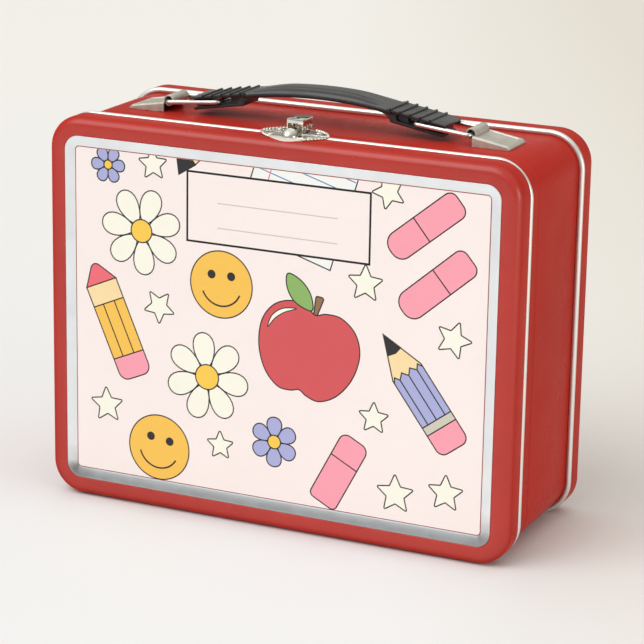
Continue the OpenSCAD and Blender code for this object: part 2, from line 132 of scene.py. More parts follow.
class LunchboxPictureSettings(bpy.types.PropertyGroup):
    """Inks of the printed picture"""

    ground: paint("Ground", "Colour of the printed ground", (0.94, 0.835, 0.815))
    cream: paint("Cream", "Ink of the stars and the daisy petals", (0.94, 0.92, 0.81))
    yellow: paint("Yellow", "Ink of the discs and the yellow pencil", (0.93, 0.55, 0.10))
    gold: paint("Gold", "Ink of the flower centres", (0.94, 0.60, 0.09))
    wood: paint("Wood", "Ink of the sharpened wood", (0.94, 0.72, 0.40))
    lavender: paint("Lavender", "Ink of the small flowers and the second pencil", (0.41, 0.43, 0.71))
    pink: paint("Pink", "Ink of the erasers", (0.94, 0.36, 0.45))
    rose: paint("Rose", "Ink of the coloured pencil point", (0.85, 0.16, 0.20))
    apple: paint("Apple", "Ink of the apple", (0.66, 0.10, 0.11))
    leaf: paint("Leaf", "Ink of the leaf", (0.27, 0.46, 0.14))
    line: paint("Line", "Ink of the outlines", (0.032, 0.029, 0.032))
    stroke: length("Outline", "Width of the drawn outlines", 0.00056, 0.0003, 0.001)


class LunchboxHardwareSettings(bpy.types.PropertyGroup):
    """Plated and moulded pieces"""

    nickel: paint("Nickel", "Colour of the plated brackets and latch", (0.66, 0.63, 0.56))
    wire: paint("Wire", "Colour of the drawn wire", (0.78, 0.77, 0.75))
    plastic: paint("Plastic", "Colour of the moulded grip", (0.020, 0.021, 0.024))
    edge: length("Edge", "Rounding of the pressed edges", 0.00012, 0.00005, 0.0003)
    rope_pitch: length("Rope pitch", "Distance between the bosses of the latch's edge", 0.00142, 0.001, 0.003)
    rib_count: IntProperty(
        name="Ribs", description="Cross ribs on each end of the grip", default=5, min=3, max=5
    )


class LunchboxStudioSettings(bpy.types.PropertyGroup):
    """Camera, floor and lights"""

    camera_at: FloatVectorProperty(
        name="Camera place", description="Where the camera stands",
        default=(0.46875, -1.01118, 0.40062), size=3, subtype="TRANSLATION", unit="LENGTH",
    )
    azimuth: FloatProperty(
        name="Azimuth", description="Turn of the view from the front towards the right side",
        default=math.radians(24.76), subtype="ANGLE", unit="ROTATION",
    )
    elevation: FloatProperty(
        name="Elevation", description="How far the view looks down",
        default=math.radians(16.0), subtype="ANGLE", unit="ROTATION",
    )
    roll: FloatProperty(
        name="Roll", description="Lean of the camera",
        default=math.radians(1.0), subtype="ANGLE", unit="ROTATION",
    )
    lens: FloatProperty(
        name="Lens", description="Focal length", default=150.28, min=20, max=300, unit="CAMERA"
    )
    floor: paint("Floor", "Colour of the floor round the box", (0.795, 0.812, 0.833))
    backdrop: paint("Backdrop", "Colour of the floor far behind the box", (0.84, 0.83, 0.81))
    # Painted shade: the floor is painted towards this darker, warmer colour off to the right of the box.
    shaded: paint("Shaded side", "Colour of the floor off to the right", (0.73, 0.70, 0.64))
    key: FloatProperty(
        name="Key", description="Strength of the broad light at the front left", default=1.45, min=0, max=20
    )
    fill: FloatProperty(
        name="Fill", description="Power of the low soft light at the right",
        default=4, min=0, max=500, unit="POWER",
    )
    sky: FloatProperty(
        name="Room", description="Strength of the even light from the room", default=0.72, min=0, max=3
    )


# ---------------------------------------------------------------- meshes


def as_object(bm, name, materials, sharp=35, recalc=True):
    """Turns a bmesh in metres into a linked object with smooth faces and crisp folds."""
    if recalc:
        bmesh.ops.recalc_face_normals(bm, faces=bm.faces[:])
    mesh = bpy.data.meshes.new(name)
    bm.to_mesh(mesh)
    bm.free()
    mesh.polygons.foreach_set("use_smooth", [True] * len(mesh.polygons))
    mesh.set_sharp_from_angle(angle=math.radians(sharp))
    for material in materials:
        mesh.materials.append(material)
    obj = bpy.data.objects.new(name, mesh)
    bpy.context.scene.collection.objects.link(obj)
    return obj


def settle(obj, body, slot, *nodes):
    """Gives a finished piece to its body and hides the frame nodes that it stands for. Its slot argument is not
    used.
    """
    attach(obj, body)
    if nodes:
        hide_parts(*nodes)
    return obj


def folded(points, radii, steps=6, closed=False):
    """Rounds a drawn line's corners. Returns the points and how tightly each is folded."""
    n = len(points)
    radii = radii if isinstance(radii, (list, tuple)) else [radii] * n
    line, folds = [], []
    for i, spot in enumerate(points):
        spot = Vector(spot)
        before, after = Vector(points[i - 1]) - spot, Vector(points[(i + 1) % n]) - spot
        at_end = not closed and i in (0, n - 1)
        if at_end or radii[i] <= 0 or before.angle(after) > math.radians(179):
            line.append(spot)
            folds.append(0.0)
            continue
        half = before.angle(after) / 2
        reach = min(radii[i] / math.tan(half), before.length * 0.49, after.length * 0.49)
        r = reach * math.tan(half)
        before.normalize()
        after.normalize()
        centre = spot + (before + after).normalized() * (r / math.sin(half))
        arm = spot + before * reach - centre
        sweep = math.pi - 2 * half
        turn = 1 if before.cross(after) < 0 else -1
        for k in range(steps + 1):
            line.append(centre + Matrix.Rotation(turn * sweep * k / steps, 2) @ arm)
            folds.append(min(1.0, 0.35 / r))
    return line, folds


def corner_ring(half_w, half_h, reach, steps):
    """Points round a rounded rectangle whose corner arcs have the given reach from their centres."""
    ring = []
    for k in range(4):
        x = half_w if k in (0, 3) else -half_w
        z = half_h if k in (0, 1) else -half_h
        for j in range(steps + 1):
            turn = math.radians(90 * (k + j / steps))
            ring.append((x + reach * math.cos(turn), z + reach * math.sin(turn)))
    return ring


def carried_round(profile, folds, half_w, half_h, closed, inside=None, steps=18):
    """Carries a profile of (reach, y) round the case. Faces after index inside get the second finish."""
    bm = bmesh.new()
    fold = bm.verts.layers.float.new("fold")
    rows = []
    for (reach, y), crease in zip(profile, folds):
        row = []
        for x, z in corner_ring(half_w, half_h, reach, steps):
            vert = bm.verts.new((x * MM, y * MM, (MID_Z + z) * MM))
            vert[fold] = crease
            row.append(vert)
        rows.append(row)
    for i in range(len(rows) if closed else len(rows) - 1):
        a, b = rows[i], rows[(i + 1) % len(rows)]
        for j in range(len(a)):
            k = (j + 1) % len(a)
            face = bm.faces.new((a[j], a[k], b[k], b[j]))
            face.material_index = 1 if inside is not None and i >= inside else 0
    if not closed:
        for row, slot in ((rows[0], 0), (rows[-1], 0 if inside is None else 1)):
            bm.faces.new([row[k * (steps + 1)] for k in range(4)]).material_index = slot
    bmesh.ops.remove_doubles(bm, verts=bm.verts[:], dist=1e-6)
    return bm


def inside_of(point, outline):
    """Whether a point lies inside a closed outline."""
    x, z = point
    odd = False
    for a, b in zip(outline, outline[1:] + outline[:1]):
        if (a.y > z) != (b.y > z) and x < a.x + (z - a.y) * (b.x - a.x) / (b.y - a.y):
            odd = not odd
    return odd


def plate(bm, shapes, front, back, place):
    """Cuts the first outline from sheet and paints the later ones on it; a finish of None is a hole.

    shapes are (points, finish), front and back the two depths, and place turns (u, v, depth) into a point.
    """
    points, edges, areas = [], [], []
    for outline, finish in shapes:
        outline = [Vector(p[:2]) for p in outline]
        first, n = len(points), len(outline)
        edges.extend((first + k, first + (k + 1) % n) for k in range(n))
        points.extend(outline)
        across, up = [q.x for q in outline], [q.y for q in outline]
        areas.append((outline, finish, min(across), max(across), min(up), max(up)))
    verts, _, tris, _, _, _ = delaunay_2d_cdt(points, edges, [], 0, 1e-5, True)
    sheet_outline = areas[0][0]
    kept = []
    for tri in tris:
        u = sum(verts[k].x for k in tri) / 3
        v = sum(verts[k].y for k in tri) / 3
        if not inside_of((u, v), sheet_outline):
            continue
        for outline, finish, left, right, low, high in reversed(areas):
            if left < u < right and low < v < high and inside_of((u, v), outline):
                break
        if finish is not None:
            kept.append((list(tri), finish))
    used = sorted({k for t, _ in kept for k in t})
    near = {k: bm.verts.new(place(verts[k].x, verts[k].y, front)) for k in used}
    far = {k: bm.verts.new(place(verts[k].x, verts[k].y, back)) for k in near}
    sides = set()
    for tri, finish in kept:
        bm.faces.new([near[k] for k in tri]).material_index = finish
        bm.faces.new([far[k] for k in reversed(tri)]).material_index = 0
        sides.update(zip(tri, tri[1:] + tri[:1]))
    for a, b in sorted(sides):
        if (b, a) not in sides:
            bm.faces.new((near[b], near[a], far[a], far[b])).material_index = 0


def eased(bm, width, sharp=28, segments=2):
    """Merges flat facets and rounds every sharp edge a little, as tumbling and plating do."""
    bmesh.ops.dissolve_limit(
        bm, angle_limit=math.radians(1.5), verts=bm.verts[:], edges=bm.edges[:], delimit=set()
    )
    edges = [
        e for e in bm.edges if len(e.link_faces) == 2 and e.calc_face_angle(0) > math.radians(sharp)
    ]
    bmesh.ops.bevel(
        bm, geom=edges, offset=width, offset_type="OFFSET", segments=segments, profile=0.5,
        affect="EDGES", clamp_overlap=True,
    )


def joined(solids):
    """One closed mesh from overlapping solids, which are used up."""
    first = solids[0]
    for other in solids[1:]:
        union = first.modifiers.new("Join", "BOOLEAN")
        union.operation, union.solver, union.object = "UNION", "EXACT", other
    graph = bpy.context.evaluated_depsgraph_get()
    made = bpy.data.meshes.new_from_object(first.evaluated_get(graph), depsgraph=graph)
    for spare in solids:
        bpy.data.objects.remove(spare)
    return made


def eased_copy(node, name, material, width):
    """A copy of a frame node with its loose triangles merged and its edges rounded."""
    bm = bmesh.new()
    bm.from_mesh(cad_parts[node].data)
    bmesh.ops.remove_doubles(bm, verts=bm.verts[:], dist=2e-6)
    eased(bm, width)
    return as_object(bm, name, [material])


def turned(bm, profile, origin, axis, segments=32, closed=False):
    """Turns a profile of (radius, height) round an axis through origin, all in millimetres."""
    along = {"x": Vector((1, 0, 0)), "y": Vector((0, 1, 0)), "z": Vector((0, 0, 1))}[axis]
    across = along.orthogonal().normalized()
    over = along.cross(across)
    rows = []
    for radius, height in profile:
        rows.append([
            bm.verts.new(
                (Vector(origin) + along * height + (across * math.cos(t) + over * math.sin(t)) * radius) * MM
            )
            for t in (2 * math.pi * k / segments for k in range(segments))
        ])
    for i in range(len(rows) if closed else len(rows) - 1):
        a, b = rows[i], rows[(i + 1) % len(rows)]
        for j in range(segments):
            k = (j + 1) % segments
            bm.faces.new((a[j], a[k], b[k], b[j]))
    if not closed:
        for row in (rows[0], rows[-1]):
            bm.faces.new(row)


# ---------------------------------------------------------------- geometry trees


def tree_with(name, sockets):
    """A new geometry tree with the given named inputs and one geometry output."""
    tree = bpy.data.node_groups.new(name, "GeometryNodeTree")
    tree.interface.new_socket("Path", in_out="INPUT", socket_type="NodeSocketGeometry")
    for label, kind, value in sockets:
        socket = tree.interface.new_socket(label, in_out="INPUT", socket_type="NodeSocket" + kind)
        if value is not None:
            socket.default_value = value
    tree.interface.new_socket("Piece", in_out="OUTPUT", socket_type="NodeSocketGeometry")
    return tree, tree.nodes.new("NodeGroupInput")


def close_tree(tree, source, geometry):
    """Ends a tree with real geometry, smooth faces and the chosen finish."""
    real = tree.nodes.new("GeometryNodeRealizeInstances")
    smooth = tree.nodes.new("GeometryNodeSetShadeSmooth")
    finish = tree.nodes.new("GeometryNodeSetMaterial")
    out = tree.nodes.new("NodeGroupOutput")
    tree.links.new(geometry, real.inputs[0])
    tree.links.new(real.outputs[0], smooth.inputs["Geometry"])
    tree.links.new(smooth.outputs[0], finish.inputs["Geometry"])
    tree.links.new(source.outputs["Finish"], finish.inputs["Material"])
    tree.links.new(finish.outputs[0], out.inputs[0])


def round_bar_tree():
    """Draws a round bar along every line of a path mesh."""
    tree, source = tree_with(
        "Round bar along a path",
        [("Bar Radius", "Float", 0.001), ("Sides", "Int", 24), ("Finish", "Material", None)],
    )
    nodes, links = tree.nodes, tree.links
    line = nodes.new("GeometryNodeMeshToCurve")
    ring = nodes.new("GeometryNodeCurvePrimitiveCircle")
    bar = nodes.new("GeometryNodeCurveToMesh")
    bar.inputs["Fill Caps"].default_value = True
    links.new(source.outputs["Path"], line.inputs["Mesh"])
    links.new(source.outputs["Sides"], ring.inputs["Resolution"])
    links.new(source.outputs["Bar Radius"], ring.inputs["Radius"])
    links.new(line.outputs["Curve"], bar.inputs["Curve"])
    links.new(ring.outputs["Curve"], bar.inputs["Profile Curve"])
    close_tree(tree, source, bar.outputs["Mesh"])
    return tree


def boss_edge_tree():
    """Sets small oval bosses, nose to tail, along a path mesh, like a rope edge."""
    tree, source = tree_with(
        "Rope edge",
        [
            ("Pitch", "Float", 0.0016),
            ("Boss Radius", "Float", 0.0008),
            ("Boss Shape", "Vector", (1.0, 0.75, 0.6)),
            ("Lean", "Float", 0.5),
            ("Finish", "Material", None),
        ],
    )
    nodes, links = tree.nodes, tree.links
    line = nodes.new("GeometryNodeMeshToCurve")
    spots = nodes.new("GeometryNodeCurveToPoints")
    spots.mode = "LENGTH"
    boss = nodes.new("GeometryNodeMeshUVSphere")
    boss.inputs["Segments"].default_value = 12
    boss.inputs["Rings"].default_value = 8
    face = nodes.new("FunctionNodeAlignRotationToVector")
    face.axis = "X"
    lean = nodes.new("FunctionNodeRotateRotation")
    lean.rotation_space = "LOCAL"
    turn = nodes.new("FunctionNodeAxisAngleToRotation")
    turn.inputs["Axis"].default_value = (0, 0, 1)
    stand = nodes.new("GeometryNodeInstanceOnPoints")
    links.new(source.outputs["Path"], line.inputs["Mesh"])
    links.new(line.outputs["Curve"], spots.inputs["Curve"])
    links.new(source.outputs["Pitch"], spots.inputs["Length"])
    links.new(source.outputs["Boss Radius"], boss.inputs["Radius"])
    links.new(spots.outputs["Tangent"], face.inputs["Vector"])
    links.new(source.outputs["Lean"], turn.inputs["Angle"])
    links.new(face.outputs[0], lean.inputs["Rotation"])
    links.new(turn.outputs[0], lean.inputs["Rotate By"])
    links.new(spots.outputs["Points"], stand.inputs["Points"])
    links.new(boss.outputs["Mesh"], stand.inputs["Instance"])
    links.new(lean.outputs[0], stand.inputs["Rotation"])
    links.new(source.outputs["Boss Shape"], stand.inputs["Scale"])
    close_tree(tree, source, stand.outputs["Instances"])
    return tree


def rib_tree():
    """Repeats a rounded cross rib down the sloping end of the grip."""
    tree, source = tree_with(
        "Grip ribs",
        [
            ("Count", "Int", 5),
            ("First", "Vector", (0.0, 0.0, 0.0)),
            ("Step", "Vector", (0.004, 0.0, 0.0)),
            ("Half Length", "Float", 0.009),
            ("Rib Width", "Float", 0.0011),
            ("Rib Height", "Float", 0.0016),
            ("Slope", "Float", 0.17),
            ("Finish", "Material", None),
        ],
    )
    nodes, links = tree.nodes, tree.links
    spots = nodes.new("GeometryNodeMeshLine")
    spots.mode = "OFFSET"
    near, far = nodes.new("ShaderNodeCombineXYZ"), nodes.new("ShaderNodeCombineXYZ")
    flip = nodes.new("ShaderNodeMath")
    flip.operation = "MULTIPLY"
    flip.inputs[1].default_value = -1
    line = nodes.new("GeometryNodeCurvePrimitiveLine")
    shape = nodes.new("GeometryNodeCurvePrimitiveQuadrilateral")
    round_off = nodes.new("GeometryNodeFilletCurve")
    round_off.mode = "POLY"
    round_off.inputs["Count"].default_value = 3
    round_off.inputs["Radius"].default_value = 0.00035
    rib = nodes.new("GeometryNodeCurveToMesh")
    rib.inputs["Fill Caps"].default_value = True
    tilt = nodes.new("ShaderNodeCombineXYZ")
    stand = nodes.new("GeometryNodeInstanceOnPoints")
    links.new(source.outputs["Count"], spots.inputs["Count"])
    links.new(source.outputs["First"], spots.inputs["Start Location"])
    links.new(source.outputs["Step"], spots.inputs["Offset"])
    links.new(source.outputs["Half Length"], flip.inputs[0])
    links.new(flip.outputs[0], near.inputs["Y"])
    links.new(source.outputs["Half Length"], far.inputs["Y"])
    links.new(near.outputs[0], line.inputs["Start"])
    links.new(far.outputs[0], line.inputs["End"])
    links.new(source.outputs["Rib Width"], shape.inputs["Width"])
    links.new(source.outputs["Rib Height"], shape.inputs["Height"])
    links.new(shape.outputs[0], round_off.inputs["Curve"])
    links.new(line.outputs[0], rib.inputs["Curve"])
    links.new(round_off.outputs[0], rib.inputs["Profile Curve"])
    links.new(source.outputs["Slope"], tilt.inputs["Y"])
    links.new(spots.outputs[0], stand.inputs["Points"])
    links.new(rib.outputs[0], stand.inputs["Instance"])
    links.new(tilt.outputs[0], stand.inputs["Rotation"])
    close_tree(tree, source, stand.outputs["Instances"])
    return tree


def rivet_tree():
    """Sets a domed rivet with its shank and tail on every point of a path mesh."""
    tree, source = tree_with(
        "Domed rivets",
        [
            ("Head Radius", "Float", 0.0013),
            ("Head Shape", "Vector", (1.0, 1.0, 0.36)),
            ("Shank Radius", "Float", 0.0008),
            ("Shank Length", "Float", 0.003),
            ("Finish", "Material", None),
        ],
    )
    nodes, links = tree.nodes, tree.links
    head = nodes.new("GeometryNodeMeshUVSphere")
    head.inputs["Segments"].default_value = 28
    head.inputs["Rings"].default_value = 16
    flat = nodes.new("GeometryNodeTransform")
    shank = nodes.new("GeometryNodeMeshCylinder")
    shank.inputs["Vertices"].default_value = 24
    drop = nodes.new("ShaderNodeMath")
    drop.operation = "MULTIPLY"
    drop.inputs[1].default_value = -0.5
    below = nodes.new("ShaderNodeCombineXYZ")
    lower = nodes.new("GeometryNodeTransform")
    tail_at = nodes.new("ShaderNodeCombineXYZ")
    fall = nodes.new("ShaderNodeMath")
    fall.operation = "MULTIPLY"
    fall.inputs[1].default_value = -1
    tail = nodes.new("GeometryNodeTransform")
    parts = nodes.new("GeometryNodeJoinGeometry")
    stand = nodes.new("GeometryNodeInstanceOnPoints")
    links.new(source.outputs["Head Radius"], head.inputs["Radius"])
    links.new(head.outputs["Mesh"], flat.inputs["Geometry"])
    links.new(source.outputs["Head Shape"], flat.inputs["Scale"])
    links.new(source.outputs["Shank Radius"], shank.inputs["Radius"])
    links.new(source.outputs["Shank Length"], shank.inputs["Depth"])
    links.new(source.outputs["Shank Length"], drop.inputs[0])
    links.new(drop.outputs[0], below.inputs["Z"])
    links.new(shank.outputs["Mesh"], lower.inputs["Geometry"])
    links.new(below.outputs[0], lower.inputs["Translation"])
    links.new(source.outputs["Shank Length"], fall.inputs[0])
    links.new(fall.outputs[0], tail_at.inputs["Z"])
    links.new(flat.outputs[0], tail.inputs["Geometry"])
    links.new(tail_at.outputs[0], tail.inputs["Translation"])
    for part in (flat, lower, tail):
        links.new(part.outputs[0], parts.inputs[0])
    links.new(source.outputs["Path"], stand.inputs["Points"])
    links.new(parts.outputs[0], stand.inputs["Instance"])
    close_tree(tree, source, stand.outputs["Instances"])
    return tree


def path_mesh(name, lines, closed=False):
    """A mesh of bare edges through lines of points in millimetres; a lone point stays a vertex."""
    verts, edges = [], []
    for line in lines:
        first = len(verts)
        verts.extend(Vector(p) * MM for p in line)
        edges.extend((first + k, first + k + 1) for k in range(len(line) - 1))
        if closed:
            edges.append((len(verts) - 1, first))
    mesh = bpy.data.meshes.new(name)
    mesh.from_pydata(verts, edges, [])
    return mesh


def grown_from(tree, name, path, sharp=35, **inputs):
    """Runs a tree on a path once and keeps the result as a plain mesh object."""
    carrier = bpy.data.objects.new(name + "_path", path)
    bpy.context.scene.collection.objects.link(carrier)
    modifier = carrier.modifiers.new("Tree", "NODES")
    modifier.node_group = tree
    for item in tree.interface.items_tree:
        if item.in_out == "INPUT" and item.name.replace(" ", "_").lower() in inputs:
            modifier[item.identifier] = inputs[item.name.replace(" ", "_").lower()]
    carrier.update_tag()
    graph = bpy.context.evaluated_depsgraph_get()
    made = bpy.data.meshes.new_from_object(carrier.evaluated_get(graph), depsgraph=graph)
    carrier.modifiers.remove(modifier)
    bpy.data.objects.remove(carrier)
    bm = bmesh.new()
    bm.from_mesh(made)
    bpy.data.meshes.remove(made)
    return as_object(bm, name, [inputs["finish"]], sharp)


# ---------------------------------------------------------------- finishes


def put(tree, kind, **values):
    """Adds a node; values are socket names with underscores, or links given as sockets."""
    made = tree.nodes.new(kind)
    for key, value in values.items():
        socket = made.inputs[key.replace("_", " ")] if not key.startswith("in") else made.inputs[int(key[2:])]
        if isinstance(value, bpy.types.NodeSocket):
            tree.links.new(value, socket)
        else:
            socket.default_value = value
    return made


def shader_group(name, inputs, outputs):
    group = bpy.data.node_groups.get(name)
    if group:
        return group, None, None
    group = bpy.data.node_groups.new(name, "ShaderNodeTree")
    for label, kind, value in inputs:
        socket = group.interface.new_socket(label, in_out="INPUT", socket_type="NodeSocket" + kind)
        socket.default_value = value
    for label in outputs:
        group.interface.new_socket(label, in_out="OUTPUT", socket_type="NodeSocketFloat")
    return group, group.nodes.new("NodeGroupInput"), group.nodes.new("NodeGroupOutput")


def grain_group():
    """Noise in object space, stretched at will: a value between Low and High, and its raw height."""
    group, source, out = shader_group(
        "Sheet grain",
        [("Scale", "Float", 100.0), ("Stretch", "Vector", (1.0, 1.0, 1.0)), ("Detail", "Float", 3.0),
         ("Low", "Float", 0.0), ("High", "Float", 1.0)],
        ("Value", "Height"),
    )
    if source:
        where = put(group, "ShaderNodeTexCoord")
        place = put(group, "ShaderNodeMapping", Vector=where.outputs["Object"],
                    Scale=source.outputs["Stretch"])
        cloud = put(group, "ShaderNodeTexNoise", Vector=place.outputs[0], Scale=source.outputs["Scale"],
                    Detail=source.outputs["Detail"])
        level = put(group, "ShaderNodeMapRange", Value=cloud.outputs["Fac"], From_Min=0.3, From_Max=0.7,
                    To_Min=source.outputs["Low"], To_Max=source.outputs["High"])
        group.links.new(level.outputs[0], out.inputs["Value"])
        group.links.new(cloud.outputs["Fac"], out.inputs["Height"])
    return group


def speck_group():
    """Scattered small marks: a mask that is 1 on a mark."""
    group, source, out = shader_group(
        "Specks", [("Scale", "Float", 400.0), ("Size", "Float", 0.12), ("Share", "Float", 0.2)], ("Mask",)
    )
    if source:
        where = put(group, "ShaderNodeTexCoord")
        cells = put(group, "ShaderNodeTexVoronoi", Vector=where.outputs["Object"],
                    Scale=source.outputs["Scale"])
        spot = put(group, "ShaderNodeMath", in0=cells.outputs["Distance"], in1=source.outputs["Size"])
        spot.operation = "LESS_THAN"
        tone = put(group, "ShaderNodeSeparateColor", Color=cells.outputs["Color"])
        pick = put(group, "ShaderNodeMath", in0=tone.outputs[0], in1=source.outputs["Share"])
        pick.operation = "LESS_THAN"
        both = put(group, "ShaderNodeMath", in0=spot.outputs[0], in1=pick.outputs[0])
        both.operation = "MULTIPLY"
        group.links.new(both.outputs[0], out.inputs["Mask"])
    return group


def crease_group():
    """Wear along folds, from the mesh's own fold attribute broken up by noise."""
    group, source, out = shader_group(
        "Fold wear", [("Amount", "Float", 0.5), ("Scale", "Float", 300.0)], ("Mask",)
    )
    if source:
        crease = put(group, "ShaderNodeAttribute")
        crease.attribute_name = "fold"
        where = put(group, "ShaderNodeTexCoord")
        cloud = put(group, "ShaderNodeTexNoise", Vector=where.outputs["Object"],
                    Scale=source.outputs["Scale"])
        broken = put(group, "ShaderNodeMapRange", Value=cloud.outputs["Fac"], From_Min=0.35, From_Max=0.65)
        one = put(group, "ShaderNodeMath", in0=crease.outputs["Fac"], in1=broken.outputs[0])
        one.operation = "MULTIPLY"
        two = put(group, "ShaderNodeMath", in0=one.outputs[0], in1=source.outputs["Amount"])
        two.operation = "MULTIPLY"
        group.links.new(two.outputs[0], out.inputs["Mask"])
    return group


def grouped(tree, group, **values):
    made = tree.nodes.new("ShaderNodeGroup")
    made.node_tree = group
    for key, value in values.items():
        made.inputs[key.replace("_", " ").title()].default_value = value
    return made


def mixed(tree, factor, first, second):
    """Mix of two colours, each a socket or plain colour."""
    made = tree.nodes.new("ShaderNodeMix")
    made.data_type = "RGBA"
    for socket, value in ((made.inputs[0], factor), (made.inputs[6], first), (made.inputs[7], second)):
        if isinstance(value, bpy.types.NodeSocket):
            tree.links.new(value, socket)
        else:
            socket.default_value = value
    return made.outputs[2]


def rgba(colour, gain=1.0):
    return (min(1, colour[0] * gain), min(1, colour[1] * gain), min(1, colour[2] * gain), 1.0)


def new_finish(name, **plain):
    """A material with one Principled shader whose steady values are set on its own sockets."""
    material = bpy.data.materials.get(name)
    if material:
        return material, None, None
    material = bpy.data.materials.new(name)
    material.use_nodes = True
    tree = material.node_tree
    shader = tree.nodes["Principled BSDF"]
    for key, value in plain.items():
        shader.inputs[key.replace("_", " ")].default_value = value
    return material, tree, shader


def bumped(tree, shader, *layers):
    """Stacks bump layers of (height socket, strength, distance) and feeds the shader's normal."""
    below = None
    for height, strength, depth in layers:
        bump = put(tree, "ShaderNodeBump", Height=height, Strength=strength, Distance=depth)
        if below:
            tree.links.new(below, bump.inputs["Normal"])
        below = bump.outputs[0]
    tree.links.new(below, shader.inputs["Normal"])


def faced(tree, shader, colour, rough):
    """Feeds a shader's colour, and its roughness from a grain group."""
    tree.links.new(colour, shader.inputs["Base Color"])
    tree.links.new(rough.outputs["Value"], shader.inputs["Roughness"])


def red_enamel():
    """Baked enamel: faint orange peel over gently wavy sheet, lighter where a fold has rubbed."""
    made, tree, shader = new_finish("red_enamel", IOR=1.08, Coat_Roughness=0.3, Coat_IOR=1.5)
    if tree:
        colour = bpy.context.scene.lunchbox_sheet.enamel
        cloud = grouped(tree, grain_group(), scale=16.0, detail=3.0)
        peel = grouped(tree, grain_group(), scale=1100.0, detail=2.0)
        wave = grouped(tree, grain_group(), scale=22.0, detail=1.0)
        satin = grouped(tree, grain_group(), scale=55.0, detail=4.0, low=0.24, high=0.36)
        rub = grouped(tree, crease_group(), amount=0.16, scale=90.0)
        dust = grouped(tree, speck_group(), scale=520.0, size=0.10, share=0.03)
        base = mixed(tree, cloud.outputs["Value"], rgba(colour, 0.93), rgba(colour, 1.06))
        worn = mixed(tree, rub.outputs["Mask"], base, (0.62, 0.10, 0.07, 1))
        dusty = mixed(tree, dust.outputs["Mask"], worn, (0.58, 0.20, 0.16, 1))
        edge_on = put(tree, "ShaderNodeLayerWeight", Blend=0.5)
        gloss = put(tree, "ShaderNodeMapRange", Value=edge_on.outputs["Facing"], From_Min=0.15, From_Max=0.5,
                    To_Min=0.9, To_Max=0.0)
        tree.links.new(gloss.outputs[0], shader.inputs["Coat Weight"])
        faced(tree, shader, dusty, satin)
        bumped(tree, shader, (wave.outputs["Height"], 0.14, 0.0010), (peel.outputs["Height"], 0.10, 0.00012))
    return made


def bare_tin():
    """Bright rolled tinplate with a fine lengthwise grain and a few dull smudges."""
    made, tree, shader = new_finish("bare_tin", Metallic=1.0)
    if tree:
        colour = bpy.context.scene.lunchbox_sheet.tin
        smudge = grouped(tree, grain_group(), scale=60.0, detail=5.0)
        grain = grouped(tree, grain_group(), scale=900.0, detail=2.0, low=0.38, high=0.54)
        rub = grouped(tree, crease_group(), amount=0.5, scale=500.0)
        base = mixed(tree, smudge.outputs["Value"], rgba(colour, 0.86), rgba(colour, 1.0))
        faced(tree, shader, mixed(tree, rub.outputs["Mask"], base, rgba(colour, 1.15)), grain)
        bumped(tree, shader, (smudge.outputs["Height"], 0.15, 0.0003),
               (grain.outputs["Height"], 0.12, 0.00006))
    return made


def ring_tin():
    """The bevel ring's satin tin, with painted shade along its lower run, which is given a darker colour, and
    darker patches near those corners.
    """
    made, tree, shader = new_finish("ring_tin", Metallic=0.92)
    if tree:
        cloud = grouped(tree, grain_group(), scale=80.0, detail=5.0)
        grain = grouped(tree, grain_group(), scale=240.0, detail=3.0, low=0.30, high=0.37)
        where = put(tree, "ShaderNodeTexCoord")
        # Darker patches near the two lower corners of the ring, broken up by noise.
        masks = []
        for x in (-1, 1):
            spot = Vector((x * (BEZEL_HIGH.x - 3), BEZEL_LOW.y, BEZEL_LOW.z + 3)) * MM
            reach = put(tree, "ShaderNodeVectorMath", in0=where.outputs["Object"], in1=spot)
            reach.operation = "DISTANCE"
            near = put(tree, "ShaderNodeMapRange", Value=reach.outputs["Value"],
                       From_Min=0.002, From_Max=0.012, To_Min=0.75, To_Max=0.0)
            masks.append(near.outputs[0])
        corner_darkening = put(tree, "ShaderNodeMath", in0=masks[0], in1=masks[1])
        corner_darkening.operation = "ADD"
        corner_patches = put(tree, "ShaderNodeMath", in0=corner_darkening.outputs[0], in1=cloud.outputs["Value"])
        corner_patches.operation = "MULTIPLY"
        base = mixed(tree, cloud.outputs["Value"], (0.84, 0.86, 0.88, 1), (0.91, 0.93, 0.95, 1))
        axes = put(tree, "ShaderNodeSeparateXYZ", Vector=where.outputs["Object"])
        # Painted shade: the ring's lower run is given a darker colour for the dimmer reflection it shows there.
        low = put(tree, "ShaderNodeMapRange", Value=axes.outputs["Z"], To_Min=1.0, To_Max=0.0,
                  From_Min=(BEZEL_LOW.z + BEZEL_W * 0.8) * MM, From_Max=(BEZEL_LOW.z + BEZEL_W * 1.6) * MM)
        run_with_painted_shade = mixed(tree, low.outputs[0], base, (0.44, 0.46, 0.48, 1))
        faced(tree, shader, mixed(tree, corner_patches.outputs[0], run_with_painted_shade, (0.25, 0.24, 0.24, 1)), grain)
        bumped(tree, shader, (cloud.outputs["Height"], 0.025, 0.0004))
    return made


def lacquered_inside():
    """Clear-lacquered tinplate with its faint crystal spangle."""
    made, tree, shader = new_finish("lacquered_inside", Metallic=0.9, Coat_Weight=0.15, Coat_Roughness=0.3)
    if tree:
        colour = bpy.context.scene.lunchbox_sheet.lining
        where = put(tree, "ShaderNodeTexCoord")
        spangle = put(tree, "ShaderNodeTexVoronoi", Vector=where.outputs["Object"], Scale=140.0)
        tone = put(tree, "ShaderNodeSeparateColor", Color=spangle.outputs["Color"])
        rough = grouped(tree, grain_group(), scale=300.0, detail=3.0, low=0.36, high=0.5)
        faced(tree, shader, mixed(tree, tone.outputs[0], rgba(colour, 0.92), rgba(colour, 1.06)), rough)
        bumped(tree, shader, (rough.outputs["Height"], 0.1, 0.0001))
    return made


